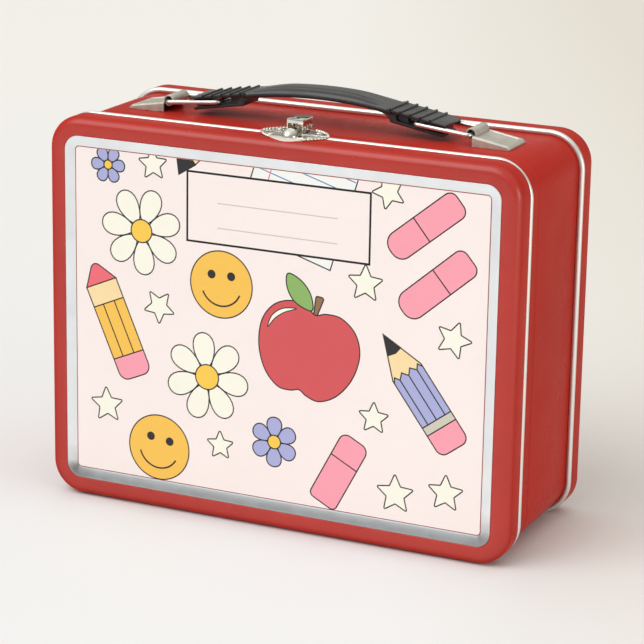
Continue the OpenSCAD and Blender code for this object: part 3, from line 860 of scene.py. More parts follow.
def nickel_plate():
    """Bright nickel over pressed steel, with soft ripples and dull patches."""
    made, tree, shader = new_finish("nickel_plate", Metallic=0.86)
    if tree:
        colour = bpy.context.scene.lunchbox_hardware.nickel
        patch = grouped(tree, grain_group(), scale=260.0, detail=5.0)
        ripple = grouped(tree, grain_group(), scale=420.0, detail=1.5)
        rough = grouped(tree, grain_group(), scale=1500.0, detail=3.0, low=0.26, high=0.42)
        pits = grouped(tree, speck_group(), scale=900.0, size=0.16, share=0.06)
        base = mixed(tree, patch.outputs["Value"], rgba(colour, 0.80), rgba(colour, 1.10))
        faced(tree, shader, mixed(tree, pits.outputs["Mask"], base, (0.25, 0.22, 0.18, 1)), rough)
        bumped(tree, shader, (ripple.outputs["Height"], 0.35, 0.0003),
               (rough.outputs["Height"], 0.15, 0.00005))
    return made


def satin_plate():
    """Dull bright-dipped plating of the brackets: paler and softer than the latch's."""
    made, tree, shader = new_finish("satin_plate", Metallic=0.5)
    if tree:
        colour = bpy.context.scene.lunchbox_hardware.nickel
        patch = grouped(tree, grain_group(), scale=190.0, detail=5.0)
        streak = grouped(tree, grain_group(), scale=900.0, stretch=(1, 1, 0.15), detail=2.0)
        rough = grouped(tree, grain_group(), scale=1300.0, detail=3.0, low=0.28, high=0.44)
        pits = grouped(tree, speck_group(), scale=800.0, size=0.15, share=0.05)
        base = mixed(tree, patch.outputs["Value"], rgba(colour, 0.70), rgba(colour, 0.94))
        faced(tree, shader, mixed(tree, pits.outputs["Mask"], base, (0.28, 0.25, 0.2, 1)), rough)
        bumped(tree, shader, (streak.outputs["Height"], 0.3, 0.00015),
               (rough.outputs["Height"], 0.15, 0.00005))
    return made


def drawn_wire():
    """Bright wire with fine drawing marks."""
    made, tree, shader = new_finish("drawn_wire", Metallic=1.0)
    if tree:
        colour = bpy.context.scene.lunchbox_hardware.wire
        rough = grouped(tree, grain_group(), scale=1200.0, stretch=(0.15, 1, 1), detail=3.0,
                        low=0.24, high=0.38)
        patch = grouped(tree, grain_group(), scale=180.0, detail=3.0)
        base = mixed(tree, patch.outputs["Value"], rgba(colour, 0.88), rgba(colour, 1.08))
        faced(tree, shader, base, rough)
        bumped(tree, shader, (rough.outputs["Height"], 0.08, 0.00006))
    return made


def moulded_plastic():
    """Soft black moulding: fine matt grain, a dull sheen and flow marks along its length."""
    made, tree, shader = new_finish("moulded_plastic", Specular_IOR_Level=0.55, Sheen_Weight=0.08,
                                    Sheen_Roughness=0.4)
    if tree:
        colour = bpy.context.scene.lunchbox_hardware.plastic
        flow = grouped(tree, grain_group(), scale=60.0, stretch=(0.2, 1, 1), detail=4.0)
        rough = grouped(tree, grain_group(), scale=220.0, stretch=(0.35, 1, 1), detail=4.0,
                        low=0.24, high=0.42)
        grain = grouped(tree, grain_group(), scale=2600.0, detail=2.0)
        scuff = grouped(tree, speck_group(), scale=700.0, size=0.14, share=0.03)
        base = mixed(tree, flow.outputs["Value"], rgba(colour, 0.8), rgba(colour, 1.5))
        faced(tree, shader, mixed(tree, scuff.outputs["Mask"], base, (0.09, 0.09, 0.095, 1)), rough)
        bumped(tree, shader, (flow.outputs["Height"], 0.2, 0.0004), (grain.outputs["Height"], 0.25, 0.00005))
    return made


def ink(name, colour):
    """Printed ink under a satin varnish: slight density drift, print grain and a soft coat."""
    made, tree, shader = new_finish("ink_" + name, Coat_Weight=0.06, Coat_Roughness=0.2, IOR=1.3)
    if tree:
        drift = grouped(tree, grain_group(), scale=45.0, detail=3.0)
        dots = grouped(tree, grain_group(), scale=2400.0, detail=1.0)
        satin = grouped(tree, grain_group(), scale=70.0, detail=4.0, low=0.38, high=0.50)
        base = mixed(tree, drift.outputs["Value"], rgba(colour, 0.985), rgba(colour, 1.015))
        fine = mixed(tree, dots.outputs["Value"], base, rgba(colour, 0.975))
        faced(tree, shader, fine, satin)
        bumped(tree, shader, (drift.outputs["Height"], 0.12, 0.0006), (dots.outputs["Height"], 0.06, 0.00003))
    return made


# ---------------------------------------------------------------- case


class LUNCHBOX_OT_case(bpy.types.Operator):
    """Press the painted band and the two painted shells"""

    bl_idname = "lunchbox.case"
    bl_label = "Painted case"

    def execute(self, context):
        finishes = [red_enamel(), lacquered_inside()]
        self.press_shell("lid_shell", -1, LID_EDGE, "lid", "front_shell", finishes)
        self.press_shell("rear_shell", 1, BACK_EDGE, "case", "back_shell", finishes)
        self.press_band(finishes)
        return {"FINISHED"}

    def press_shell(self, name, side, edge, body, node, finishes):
        """One drawn tray: rounded edge, flat border, stepped recess and an open rim."""
        recess = SHELL_CORNER - BORDER
        floor = FACE_Y - RECESS_DEPTH
        line = [
            (0, floor), (recess, floor), (recess, FACE_Y), (SHELL_CORNER, FACE_Y), (SHELL_CORNER, edge),
            (SHELL_CORNER - SHEET, edge), (SHELL_CORNER - SHEET, FACE_Y - SHEET),
            (recess + SHEET, FACE_Y - SHEET), (recess + SHEET, floor - SHEET), (0, floor - SHEET),
        ]
        rounding = [0, 0.2, 0.45, FACE_EDGE, 0.12, 0.12, FACE_EDGE - SHEET, 0.2, 0.3, 0]
        profile, folds = folded(line, rounding, steps=8)
        inner = min(i for i, p in enumerate(profile)
                    if p.x < SHELL_CORNER - SHEET / 2 and p.y < edge + 0.3 and i > 20)
        bm = carried_round(
            [(p.x, side * p.y) for p in profile], folds, SHELL_HALF_W - SHELL_CORNER,
            SHELL_HALF_H - SHELL_CORNER, closed=False, inside=inner,
        )
        settle(as_object(bm, name, finishes, sharp=50), body, "red_paint", node)

    def press_band(self, finishes):
        """The band that makes the top, bottom and both sides, with its softly raised strip."""
        half_w, half_h = BAND_HIGH.x - STRIP_RISE, BAND_HIGH.z - STRIP_RISE - MID_Z
        reach = BAND_HIGH.y
        steps = 8
        line = [(0.0, -reach)]
        for k in range(steps + 1):
            t = k / steps
            line.append((STRIP_RISE * t * t * (3 - 2 * t), -STRIP_HALF - STRIP_SLOPE * (1 - t)))
        outer = line + [(rise, -y) for rise, y in reversed(line)]
        loop = [(BAND_CORNER + rise, y) for rise, y in outer]
        loop += [(BAND_CORNER - SHEET + rise, y) for rise, y in reversed(outer)]
        bm = carried_round(
            loop, [0.0] * len(loop), half_w - BAND_CORNER, half_h - BAND_CORNER,
            closed=True, inside=len(outer),
        )
        settle(as_object(bm, "painted_band", finishes, sharp=50), "case", "red_paint", "side_band")


def rim_path(y, gaps):
    """Bead centre line round the case at depth y, left open at the hinges when gaps is true."""
    ring = [
        (x, y, MID_Z + z)
        for x, z in corner_ring(BEAD_HALF_W - BEAD_CORNER, BEAD_HALF_H - BEAD_CORNER, BEAD_CORNER, 20)
    ]
    low = BEAD_LOW.z + BEAD_R
    if not gaps:
        start = [(0.2, y, low)] + ring[-21:] + ring[:-21] + [(-0.2, y, low)]
        return [start]
    cut_in, cut_out = HINGE_X - HINGE_HALF - HINGE_GAP, HINGE_X + HINGE_HALF + HINGE_GAP
    long = [(cut_out, y, low)] + ring[-21:] + ring[:-21] + [(-cut_out, y, low)]
    return [long, [(-cut_in, y, low), (0, y, low), (cut_in, y, low)]]


class LUNCHBOX_OT_beads(bpy.types.Operator):
    """Roll the two bare beads round the case"""

    bl_idname = "lunchbox.beads"
    bl_label = "Rolled beads"

    def execute(self, context):
        tree = round_bar_tree()
        for name, y, node in (
            ("front_bead", -BEAD_Y, "front_rim_bead"),
            ("rear_bead", BEAD_Y, "rear_rim_bead"),
        ):
            lines = rim_path(y, node == "front_rim_bead")
            bead = grown_from(
                tree, name, path_mesh(name + "_line", lines),
                bar_radius=BEAD_R * MM, sides=28, finish=bare_tin(),
            )
            settle(bead, "case", "bare_tin", node)
        return {"FINISHED"}


# ---------------------------------------------------------------- picture


def spline(points, steps=6, closed=True):
    """Smooth curve through the points."""
    out, n = [], len(points)
    for i in range(n if closed else n - 1):
        p0, p1, p2, p3 = (
            Vector(points[k % n] if closed else points[max(0, min(n - 1, k))]) for k in (i - 1, i, i + 1, i + 2)
        )
        for s in range(steps):
            t = s / steps
            out.append(0.5 * (2 * p1 + (p2 - p0) * t + (2 * p0 - 5 * p1 + 4 * p2 - p3) * t * t
                              + (3 * p1 - p0 - 3 * p2 + p3) * t * t * t))
    if not closed:
        out.append(Vector(points[-1]))
    return out


def shifted(points, offset):
    """Moves a closed outline outwards by offset, or inwards when it is negative."""
    n = len(points)
    points = [Vector(p[:2]) for p in points]
    area = sum(points[i - 1].cross(points[i]) for i in range(n))
    out = []
    for i in range(n):
        a, b, c = points[i - 1], points[i], points[(i + 1) % n]
        first, second = (b - a).normalized(), (c - b).normalized()
        sides = Vector((first.y, -first.x)), Vector((second.y, -second.x))
        middle = (sides[0] + sides[1]).normalized()
        out.append(b + middle * (math.copysign(1, area) * offset / max(0.4, middle.dot(sides[0]))))
    return out


class Picture:
    """Collects outlines in painting order, in millimetres on the sheet."""

    def __init__(self, outline, inks, stroke):
        self.names = list(inks)
        self.stroke = stroke
        self.shapes = [(outline, self.names.index("ground"))]

    def fill(self, points, name):
        self.shapes.append((points, self.names.index(name)))

    def drawn(self, points, name, width=1.0):
        """A filled outline with an inked line round it."""
        self.fill(shifted(points, self.stroke * width / 2), "line")
        self.fill(shifted(points, -self.stroke * width / 2), name)

    def ruled(self, points, name="line", width=1.0):
        """An open inked line."""
        points = [Vector(p) for p in points]
        left, right = [], []
        for i, p in enumerate(points):
            step = (points[min(i + 1, len(points) - 1)] - points[max(i - 1, 0)]).normalized()
            side = Vector((-step.y, step.x)) * self.stroke * width / 2
            left.append(p + side)
            right.append(p - side)
        self.fill(left + right[::-1], name)

    def disc(self, x, z, radius, name, lined=True, squash=1.0, steps=28):
        ring = [
            (x + radius * math.cos(t), z + radius * squash * math.sin(t))
            for t in (2 * math.pi * k / steps for k in range(steps))
        ]
        (self.drawn if lined else self.fill)(ring, name)

    def star(self, x, z, radius, lean=0.0):
        """A plump five-pointed star."""
        points = []
        for k in range(10):
            reach = radius * (1.06 if k % 2 == 0 else 0.5)
            turn = math.radians(90 + lean + 36 * k)
            points.append((x + reach * math.cos(turn), z + reach * math.sin(turn)))
        self.drawn(folded(points, [0.45, 0.5] * 5, steps=3, closed=True)[0], "cream")

    def flower(self, x, z, radius, count, lean, name, heart, plump=1.0):
        """Petals like fat drops round a gold centre."""
        for k in range(count):
            turn = math.radians(lean + 360 * k / count)
            middle, half = radius * 0.60, radius * 0.40
            wide = radius * 0.315 * plump * 7 / count
            petal = []
            for s in range(22):
                t = 2 * math.pi * s / 22
                u = middle + half * math.cos(t)
                v = wide * math.sin(t) * (0.80 + 0.20 * math.cos(t))
                petal.append((x + u * math.cos(turn) - v * math.sin(turn),
                              z + u * math.sin(turn) + v * math.cos(turn)))
            self.drawn(petal, name)
        self.disc(x, z, heart, "gold")

    def turned_to(self, x, z, degrees):
        """Returns a function from a motif's own (along, across) to the sheet."""
        c, s = math.cos(math.radians(degrees)), math.sin(math.radians(degrees))
        return lambda points: [(x + u * c - v * s, z + u * s + v * c) for u, v in points]

    def eraser(self, x, z, lean, long, wide, band, tight):
        """A rounded block with one line across it."""
        at = self.turned_to(x, z, lean)
        u, v = long / 2, wide / 2
        corners = [(-u, -v), (u, -v), (u, v), (-u, v)]
        block = folded(corners, [tight, 3.6, 3.6, tight], steps=6, closed=True)[0]
        self.drawn(at(block), "pink")
        self.ruled(at([(band, -v), (band, v)]))


def draw_picture(sheet):
    """School motifs on the panel, in millimetres: flowers, stars, pencils, erasers and an apple."""
    p = sheet
    # behind the name box: a ruled paper corner and a dark pencil point
    at = p.turned_to(25, 117, 163.3)
    p.drawn(at([(0, 0), (45.2, 0), (45.2, -50), (0, -50)]), "paper")
    for k in range(7):
        p.ruled(at([(0.5, -6 - 5.6 * k), (44.7, -6 - 5.6 * k)]), "blue", 0.9)
    p.ruled(at([(37.5, -0.5), (37.5, -49.5)]), "margin", 0.9)
    p.drawn([(-45.2, 149.6), (-37.6, 154.4), (-33, 158.6), (-46.4, 158.6)], "wood")
    p.drawn([(-45.2, 149.6), (-37.4, 154.4), (-40.5, 158.6), (-46.2, 158.6)], "line")
    # name box, left blank for the owner with two writing lines
    p.fill([(-41.6, 121.3), (43.0, 121.3), (43.0, 152.0), (-41.6, 152.0)], "frame")
    p.fill([(-40.7, 122.2), (42.1, 122.2), (42.1, 151.1), (-40.7, 151.1)], "ground")
    p.ruled([(-27, 139.2), (28, 139.2)], "faint", 0.8)
    p.ruled([(-27, 128.6), (28, 128.6)], "faint", 0.8)
    # flowers
    p.flower(-63, 123, 19, 7, 18, "cream", 5)
    p.flower(-31.5, 63, 19.5, 7, -6, "cream", 5.5)
    p.flower(-79, 150, 8, 6, 0, "lavender", 2, plump=1.05)
    p.flower(0.5, 39, 11, 6, 30, "lavender", 3, plump=1.05)
    # stars
    for x, z, radius, lean in (
        (-57.5, 152.5, 7, 4), (50.5, 153, 7.5, 24), (-54.5, 91, 7.5, 36), (41, 113.5, 8, 0),
        (80.5, 95, 8, -18), (-80, 43.5, 8, 4), (-25, 33.5, 6.5, 2), (46, 56.5, 7, 0),
        (56.5, 25, 8.5, 2), (79, 29, 8, 0),
    ):
        p.star(x, z, radius, lean)
    # two smiling discs
    for x, z, radius, lean in ((-25, 104.5, 14.5, 0), (-54.5, 28, 14.5, -8)):
        p.disc(x, z, radius, "yellow", steps=48)
        at = p.turned_to(x, z, lean)
        for side in (-1, 1):
            spot = at([(side * 4.6, 4.0)])[0]
            p.disc(spot[0], spot[1], 1.9, "line", lined=False)
        turns = [math.radians(203 + 134 * k / 16) for k in range(17)]
        arc = [(9.4 * math.cos(t), 9.4 * math.sin(t)) for t in turns]
        p.ruled(at(arc), width=1.35)
    # apple: one side of its outline, mirrored about its own leaning axis
    at = p.turned_to(15.4, 81.2, -12)
    right_side = [(4.5, 18.2), (11.5, 18.8), (19, 14.5), (23, 6), (22, -5), (17, -14.5), (10, -19.6),
                  (4, -19.4)]
    left_side = [(-u, v) for u, v in reversed(right_side)]
    p.drawn(at(folded([(-0.8, 15), (0.6, 15), (2.2, 24.6), (-1.6, 24.4)], 0.9, closed=True)[0]), "stem")
    p.drawn(at(spline([(0, 16.2)] + right_side + [(0, -17.8)] + left_side)), "apple")
    shine = [(-19.8, 4), (-19, 9.5), (-15, 14), (-9, 16), (-14, 12.5), (-17.6, 8.4)]
    p.drawn(at(spline(shine)), "cream", 0.8)
    p.drawn(at(spline([(-2, 17.5), (-4, 24), (-9.5, 28.5), (-16, 29.5), (-15, 23.5), (-10, 18.5)])), "leaf")
    # yellow pencil
    at = p.turned_to(-86.8, 107.4, -66.4)
    p.drawn(at(folded([(0, 0), (10.4, -7.8), (45, -7.8), (45, 7.8), (10.4, 7.8)], [2.6, 1.5, 0, 0, 1.5],
                      steps=5, closed=True)[0]), "yellow")
    p.drawn(at(folded([(0, 0), (10.4, -7.8), (10.4, 7.8)], [2.6, 0, 0], steps=5, closed=True)[0]), "rose")
    p.drawn(at([(10.4, -7.8), (19.4, -7.8), (19.4, 7.8), (10.4, 7.8)]), "wood")
    for v in (-2.9, 2.9):
        p.ruled(at([(19.4, v), (43.4, v)]))
    eraser = [(43.4, -7.8), (53.6, -7.8), (53.6, 7.8), (43.4, 7.8)]
    p.drawn(at(folded(eraser, [0, 4, 4, 0], closed=True)[0]), "pink")
    # lavender pencil
    at = p.turned_to(49.4, 93.1, -53.2)
    p.drawn(at([(0, 0), (18.4, -7.7), (21, -7.7), (21, 7.7), (18.4, 7.7)]), "wood")
    p.drawn(at([(0, 0), (8.4, -3.5), (9.2, 0.3), (8.4, 3.6)]), "line")
    body = [(19.6, -7.7), (17.6, -6.2), (19.6, -4.6), (17.4, -2.2), (19.8, 0), (17.4, 2.2), (19.6, 4.6),
            (17.6, 6.2), (19.6, 7.7), (41.2, 7.7), (41.2, -7.7)]
    p.drawn(at(body), "lavender")
    for v in (-4.6, 0, 4.6):
        p.ruled(at([(19.7, v), (41.2, v)]))
    p.drawn(at([(41.2, -7.7), (45.0, -7.7), (45.0, 7.7), (41.2, 7.7)]), "ferrule")
    eraser = [(45.0, -7.7), (55.4, -7.7), (55.4, 7.7), (45.0, 7.7)]
    p.drawn(at(folded(eraser, [0, 3.6, 3.6, 0], closed=True)[0]), "pink")
    # erasers
    p.eraser(66.8, 140.4, 39.3, 38.2, 11.9, -2.1, 5.2)
    p.eraser(72.4, 116.6, 40.8, 38.6, 12.4, 2.8, 5.4)
    p.eraser(30.6, 30.6, 62.5, 33.4, 13.4, 5.0, 2.4)


class LUNCHBOX_OT_picture(bpy.types.Operator):
    """Set the bevel ring and the printed panel into the lid"""

    bl_idname = "lunchbox.picture"
    bl_label = "Printed picture"

    def execute(self, context):
        self.bevel_ring()
        self.panel(context.scene.lunchbox_picture)
        return {"FINISHED"}

    def bevel_ring(self):
        """Bare ring that slopes from the painted border down to the panel."""
        outer = SHELL_CORNER - BORDER - 0.05
        inner = SHELL_CORNER - BORDER - BEZEL_W
        floor = FACE_Y - RECESS_DEPTH
        front = -BEZEL_LOW.y
        line = [(outer, floor), (outer, front), (outer - 0.5, front), (inner, floor + SHEET), (inner, floor)]
        profile, folds = folded(line, [0.05, 0.12, 0.2, 0.15, 0.05], steps=4, closed=True)
        bm = carried_round(
            [(p.x, -p.y) for p in profile], folds,
            BEZEL_HIGH.x - outer, BEZEL_HIGH.z - MID_Z - outer, closed=True,
        )
        settle(as_object(bm, "bevel_ring", [ring_tin()], sharp=40), "lid", "bare_tin", "front_bezel")

    def panel(self, chosen):
        """One printed sheet; every motif is cut into its front face."""
        colours = {key: getattr(chosen, key) for key in (
            "ground", "cream", "yellow", "gold", "wood", "lavender", "pink", "rose", "apple", "leaf", "line")}
        colours.update(
            paper=(0.90, 0.90, 0.88), blue=(0.12, 0.27, 0.52), margin=(0.80, 0.22, 0.30),
            stem=(0.28, 0.17, 0.08), ferrule=(0.62, 0.60, 0.50), faint=(0.62, 0.52, 0.50),
            frame=(0.012, 0.012, 0.013),
        )
        half_w, half_h = PANEL_HIGH.x, (PANEL_HIGH.z - PANEL_LOW.z) / 2
        outline = [(x, MID_Z + z) for x, z in corner_ring(half_w - 1.5, half_h - 1.5, 1.5, 8)]
        sheet = Picture(outline, colours, chosen.stroke / MM)
        draw_picture(sheet)
        bm = bmesh.new()
        plate(bm, sheet.shapes, PANEL_LOW.y, PANEL_HIGH.y, lambda u, v, y: Vector((u, y, v)) * MM)
        panel = as_object(bm, "printed_panel", [ink(key, value) for key, value in colours.items()], sharp=40)
        settle(panel, "lid", "printed_sheet", "print_panel")


# ---------------------------------------------------------------- hinges


class LUNCHBOX_OT_hinges(bpy.types.Operator):
    """Ease the edges of the two bottom hinges"""

    bl_idname = "lunchbox.hinges"
    bl_label = "Hinges"

    def execute(self, context):
        edge = context.scene.lunchbox_hardware.edge / 2
        for end in ("left", "right"):
            for part, body in (("body", "case"), ("lid", "lid")):
                node = f"hinge_leaf_{part}_{end}"
                settle(eased_copy(node, node + "_plated", nickel_plate(), edge), body, "nickel_plate", node)
        pins = eased_copy("hinge_pins", "hinge_wires", drawn_wire(), edge)
        settle(pins, "case", "steel_wire", "hinge_pins")
        return {"FINISHED"}


# ---------------------------------------------------------------- handle

# Sideways places are measured from the handle's middle
KNUCKLE_X = 70
KNUCKLE_Z = 172.5
KNUCKLE_HALF = 7.2
BAR_X = 45.5
BAR_Z = 174.4
LOOP_Z = 172.0
LOOP_HALF = 8.6
LOOP_CORNER = 1.6
LOOP_LEN = math.hypot(KNUCKLE_X - BAR_X, BAR_Z - LOOP_Z)
LOOP_ANGLE = math.atan2(BAR_Z - LOOP_Z, KNUCKLE_X - BAR_X)
WIRE_R = 1.0
SLOPE = 0.171


def grip_top(x):
    return BAR_Z + 3.1 - SLOPE * (x - BAR_X)


def grip_low(x):
    return BAR_Z - 2.7 - SLOPE * (x - BAR_X)


def slot_mid(x):
    return BAR_Z - SLOPE * (x - BAR_X)


class LUNCHBOX_OT_handle(bpy.types.Operator):
    """Fold the brackets, bend the wire loops and mould the grip"""

    bl_idname = "lunchbox.handle"
    bl_label = "Handle"

    def execute(self, context):
        bars = bpy.data.node_groups.get("Round bar along a path") or round_bar_tree()
        for side, end in ((-1, "left"), (1, "right")):
            self.bracket(side, end)
            self.loop(side, end, bars)
        self.grip(context.scene.lunchbox_hardware)
        return {"FINISHED"}

    def bracket(self, side, end):
        """A pressed cap with sloping edges, a rolled knuckle and clinched prongs."""
        low, high = mm_box("handle_bracket_" + end)
        foot = BAND_HIGH.z + 0.05
        half, chamfer, rim_drop = high.y, 1.1, 0.42
        x0, x1 = KNUCKLE_X + 1.4, KNUCKLE_X + 18
        steps = 34
        high_z, fall = 172, 2.7 / 16
        bm = bmesh.new()
        rows = []
        for k in range(steps + 1):
            x = x0 + (x1 - x0) * k / steps
            top = high_z - (x - KNUCKLE_X - 2) * fall
            drop = 0 if x1 - x > chamfer else chamfer * (1 - (x1 - x) / chamfer) * 0.8
            ragged = 0.22 * abs(noise.noise(Vector((x * 1.7, side * 3.0, 0.5)))) * (2.4 if side < 0 else 1.0)
            base = foot + ragged
            sunk = rim_drop * max(0.08, min(1.0, (x1 - 2.1 - x) / 0.5))
            edge, shelf = half - chamfer * 0.7, half - chamfer * 0.7 - 1.0
            line = [(-half, base), (-half, top - chamfer * 0.6 - drop * 0.3), (-edge, top - drop),
                    (-shelf, top - drop), (-shelf + 0.3, top - drop - sunk), (shelf - 0.3, top - drop - sunk),
                    (shelf, top - drop), (edge, top - drop),
                    (half, top - chamfer * 0.6 - drop * 0.3), (half, foot)]
            section = folded(line, [0, 0.25, 0.25, 0.1, 0.1, 0.1, 0.1, 0.25, 0.25, 0], steps=3)[0]
            rows.append([bm.verts.new(Vector((HANDLE_X + side * x, y, z)) * MM) for y, z in section])
        for a, b in zip(rows, rows[1:]):
            for j in range(len(a) - 1):
                bm.faces.new((a[j], a[j + 1], b[j + 1], b[j]))
        bm.faces.new(rows[-1])
        bmesh.ops.recalc_face_normals(bm, faces=bm.faces[:])
        probe = max(bm.faces, key=lambda f: f.calc_center_median().z)
        if probe.normal.z < 0:
            bmesh.ops.reverse_faces(bm, faces=bm.faces[:])
        cap = as_object(bm, "cap", [satin_plate()], recalc=False)
        thick = cap.modifiers.new("Sheet", "SOLIDIFY")
        thick.thickness, thick.offset = 0.6 * MM, -1
        graph = bpy.context.evaluated_depsgraph_get()
        made = bpy.data.meshes.new_from_object(cap.evaluated_get(graph), depsgraph=graph)
        bpy.data.objects.remove(cap)
        bm = bmesh.new()
        bm.from_mesh(made)
        bpy.data.meshes.remove(made)
        centre = (HANDLE_X + side * KNUCKLE_X, 0, KNUCKLE_Z)
        tube = folded([(1.8, -KNUCKLE_HALF), (2.4, -KNUCKLE_HALF), (2.4, KNUCKLE_HALF), (1.8, KNUCKLE_HALF)],
                      0.18, steps=3, closed=True)[0]
        turned(bm, tube, centre, "y", segments=40, closed=True)
        for place in (6, 13):
            for y in (-1, 1):
                self.prong(bm, HANDLE_X + side * (KNUCKLE_X + place), y, half, low.z)
        settle(as_object(bm, f"bracket_{end}", [satin_plate()], sharp=32), "case", "nickel_plate",
               "handle_bracket_" + end)

    def prong(self, bm, x, side, half, low):
        """A prong through the band, folded flat inside."""
        out, sheet, fold = half - 0.08, 0.48, 3.4
        top = BAND_HIGH.z + 0.3
        line = [(out - sheet, top), (out, top), (out, low), (out - fold, low), (out - fold, low + sheet),
                (out - sheet, low + sheet)]
        shape = folded(line, [0, 0, 0.5, 0.1, 0.1, 0.1], steps=3, closed=True)[0]
        plate(bm, [([(p[0], p[1]) for p in shape], 0)], x - 1.5, x + 1.5,
              lambda u, v, depth: Vector((depth, side * u, v)) * MM)

    def loop(self, side, end, tree):
        """A closed wire loop from the bracket's knuckle to the grip's slot."""
        half_long = LOOP_LEN / 2
        ring = corner_ring(half_long - LOOP_CORNER, LOOP_HALF - LOOP_CORNER, LOOP_CORNER, 8)
        line = []
        for u, y in ring:
            u -= half_long
            line.append((HANDLE_X + side * (KNUCKLE_X + u * math.cos(LOOP_ANGLE)), y,
                         LOOP_Z - u * math.sin(LOOP_ANGLE)))
        wire = grown_from(
            tree, f"wire_loop_{end}", path_mesh(f"loop_line_{end}", [line], closed=True),
            bar_radius=WIRE_R * MM, sides=20, finish=drawn_wire(),
        )
        settle(wire, "loop_" + end, "steel_wire", "handle_loop_" + end)

    def grip(self, chosen):
        """Arched middle with a raised band, ribbed ends with open slots for the wire."""
        plastic = moulded_plastic()
        bm = bmesh.new()
        self.arch(bm)
        for side in (-1, 1):
            end = bmesh.new()
            made = self.grip_end(side)
            end.from_mesh(made)
            bmesh.ops.remove_doubles(end, verts=end.verts[:], dist=2e-6)
            eased(end, 0.00028, sharp=30, segments=2)
            end.to_mesh(made)
            end.free()
            bm.from_mesh(made)
            bpy.data.meshes.remove(made)
        ribs = rib_tree()
        for side in (-1, 1):
            first = Vector((HANDLE_X + side * 34.7, 0, grip_top(34.7) + 0.1)) * MM
            step = Vector((side * 4.45, 0, -4.45 * SLOPE)) * MM
            teeth = grown_from(
                ribs, "ribs", path_mesh("rib_line", [[(0, 0, 0)]]),
                count=chosen.rib_count, first=first, step=step,
                half_length=9.1 * MM, rib_width=1.05 * MM, rib_height=1.2 * MM,
                slope=side * math.atan(SLOPE), finish=plastic,
            )
            bm.from_mesh(teeth.data)
            bpy.data.objects.remove(teeth)
        settle(as_object(bm, "moulded_grip", [plastic], sharp=40), "grip", "black_plastic", "handle_grip")

    def arch(self, bm):
        """Bent middle: a flat oval with a raised band between two lengthwise grooves."""
        upper = [(0, 2.3), (2.0, 2.25), (3.3, 2.1), (3.7, 1.95), (4.0, 1.5), (4.5, 1.45), (4.9, 1.8), (5.4, 1.82),
                 (6.4, 1.5), (7.3, 0.85), (8.0, -0.05), (8.2, -0.8)]
        lower = [(7.9, -1.5), (7.0, -2.05), (5.6, -2.3), (3.6, -2.2), (1.6, -2.05), (0, -2.0)]
        side = upper + lower
        section = side + [(-y, z) for y, z in reversed(side[1:-1])]
        rows, steps, arch_r, mid = [], 36, 200, GRIP_HIGH.z - 2.3
        reach = math.asin(34.5 / arch_r)
        for k in range(steps + 1):
            turn = reach * (2 * k / steps - 1)
            row = []
            for y, z in section:
                x = (arch_r + z) * math.sin(turn)
                high = mid - arch_r + (arch_r + z) * math.cos(turn)
                near_end = max(0.0, min(1.0, (abs(x) - 12) / 22))
                settled = near_end * near_end * (3 - 2 * near_end)
                high -= settled * max(0.0, high - grip_top(abs(x)) - 0.15)
                row.append(bm.verts.new(Vector((HANDLE_X + x, y, high)) * MM))
            rows.append(row)
        for a, b in zip(rows, rows[1:]):
            for j in range(len(a)):
                bm.faces.new((a[j], a[(j + 1) % len(a)], b[(j + 1) % len(a)], b[j]))
        bm.faces.new(rows[0])
        bm.faces.new(rows[-1])

    def grip_end(self, side):
        """One end: a curved root, a thin wide top for the ribs, a lower flange and open channels."""
        root, web_out, lip_out, lip = 24, 57.5, 59.2, 0.8
        wall, wide, flange, core = 36.5, 9.1, 7.2, 4.6
        under = GRIP_HIGH.z - 5.9
        channel = 1.45
        curve = []
        for k in range(11):
            t = math.radians(9 * k)
            curve.append((root + 10 * math.sin(t), under + (grip_low(34) - under) * (1 - math.cos(t))))
        web = curve + [(web_out, grip_low(web_out)), (web_out, grip_top(web_out)), (33, grip_top(33)),
                       (root, GRIP_HIGH.z - 3.3)]
        slot = folded([(41, slot_mid(41) - channel), (52.5, slot_mid(52.5) - channel),
                       (52.5, slot_mid(52.5) + channel), (41, slot_mid(41) + channel)], 1.3, closed=True)[0]
        reach = web_out + 1
        trough = folded([(wall, slot_mid(wall) - channel), (reach, slot_mid(reach) - channel),
                         (reach, slot_mid(reach) + channel), (wall, slot_mid(wall) + channel)],
                        [1.2, 0, 0, 1.2], closed=True)[0]
        top = [(33, grip_top(33)), (lip_out, grip_top(lip_out)),
               (lip_out, grip_top(lip_out) - lip), (33, grip_top(33) - lip)]

        def place(u, v, depth):
            return Vector((HANDLE_X + side * u, depth, v)) * MM

        solids = []
        for shapes, half in (([(web, 0), (slot, None)], core), ([(web, 0), (trough, None)], flange),
                             ([(top, 0)], wide)):
            bm = bmesh.new()
            plate(bm, shapes, -half, half, place)
            solids.append(as_object(bm, "grip_solid", []))
        return joined(solids)

# ---------------------------------------------------------------- latch


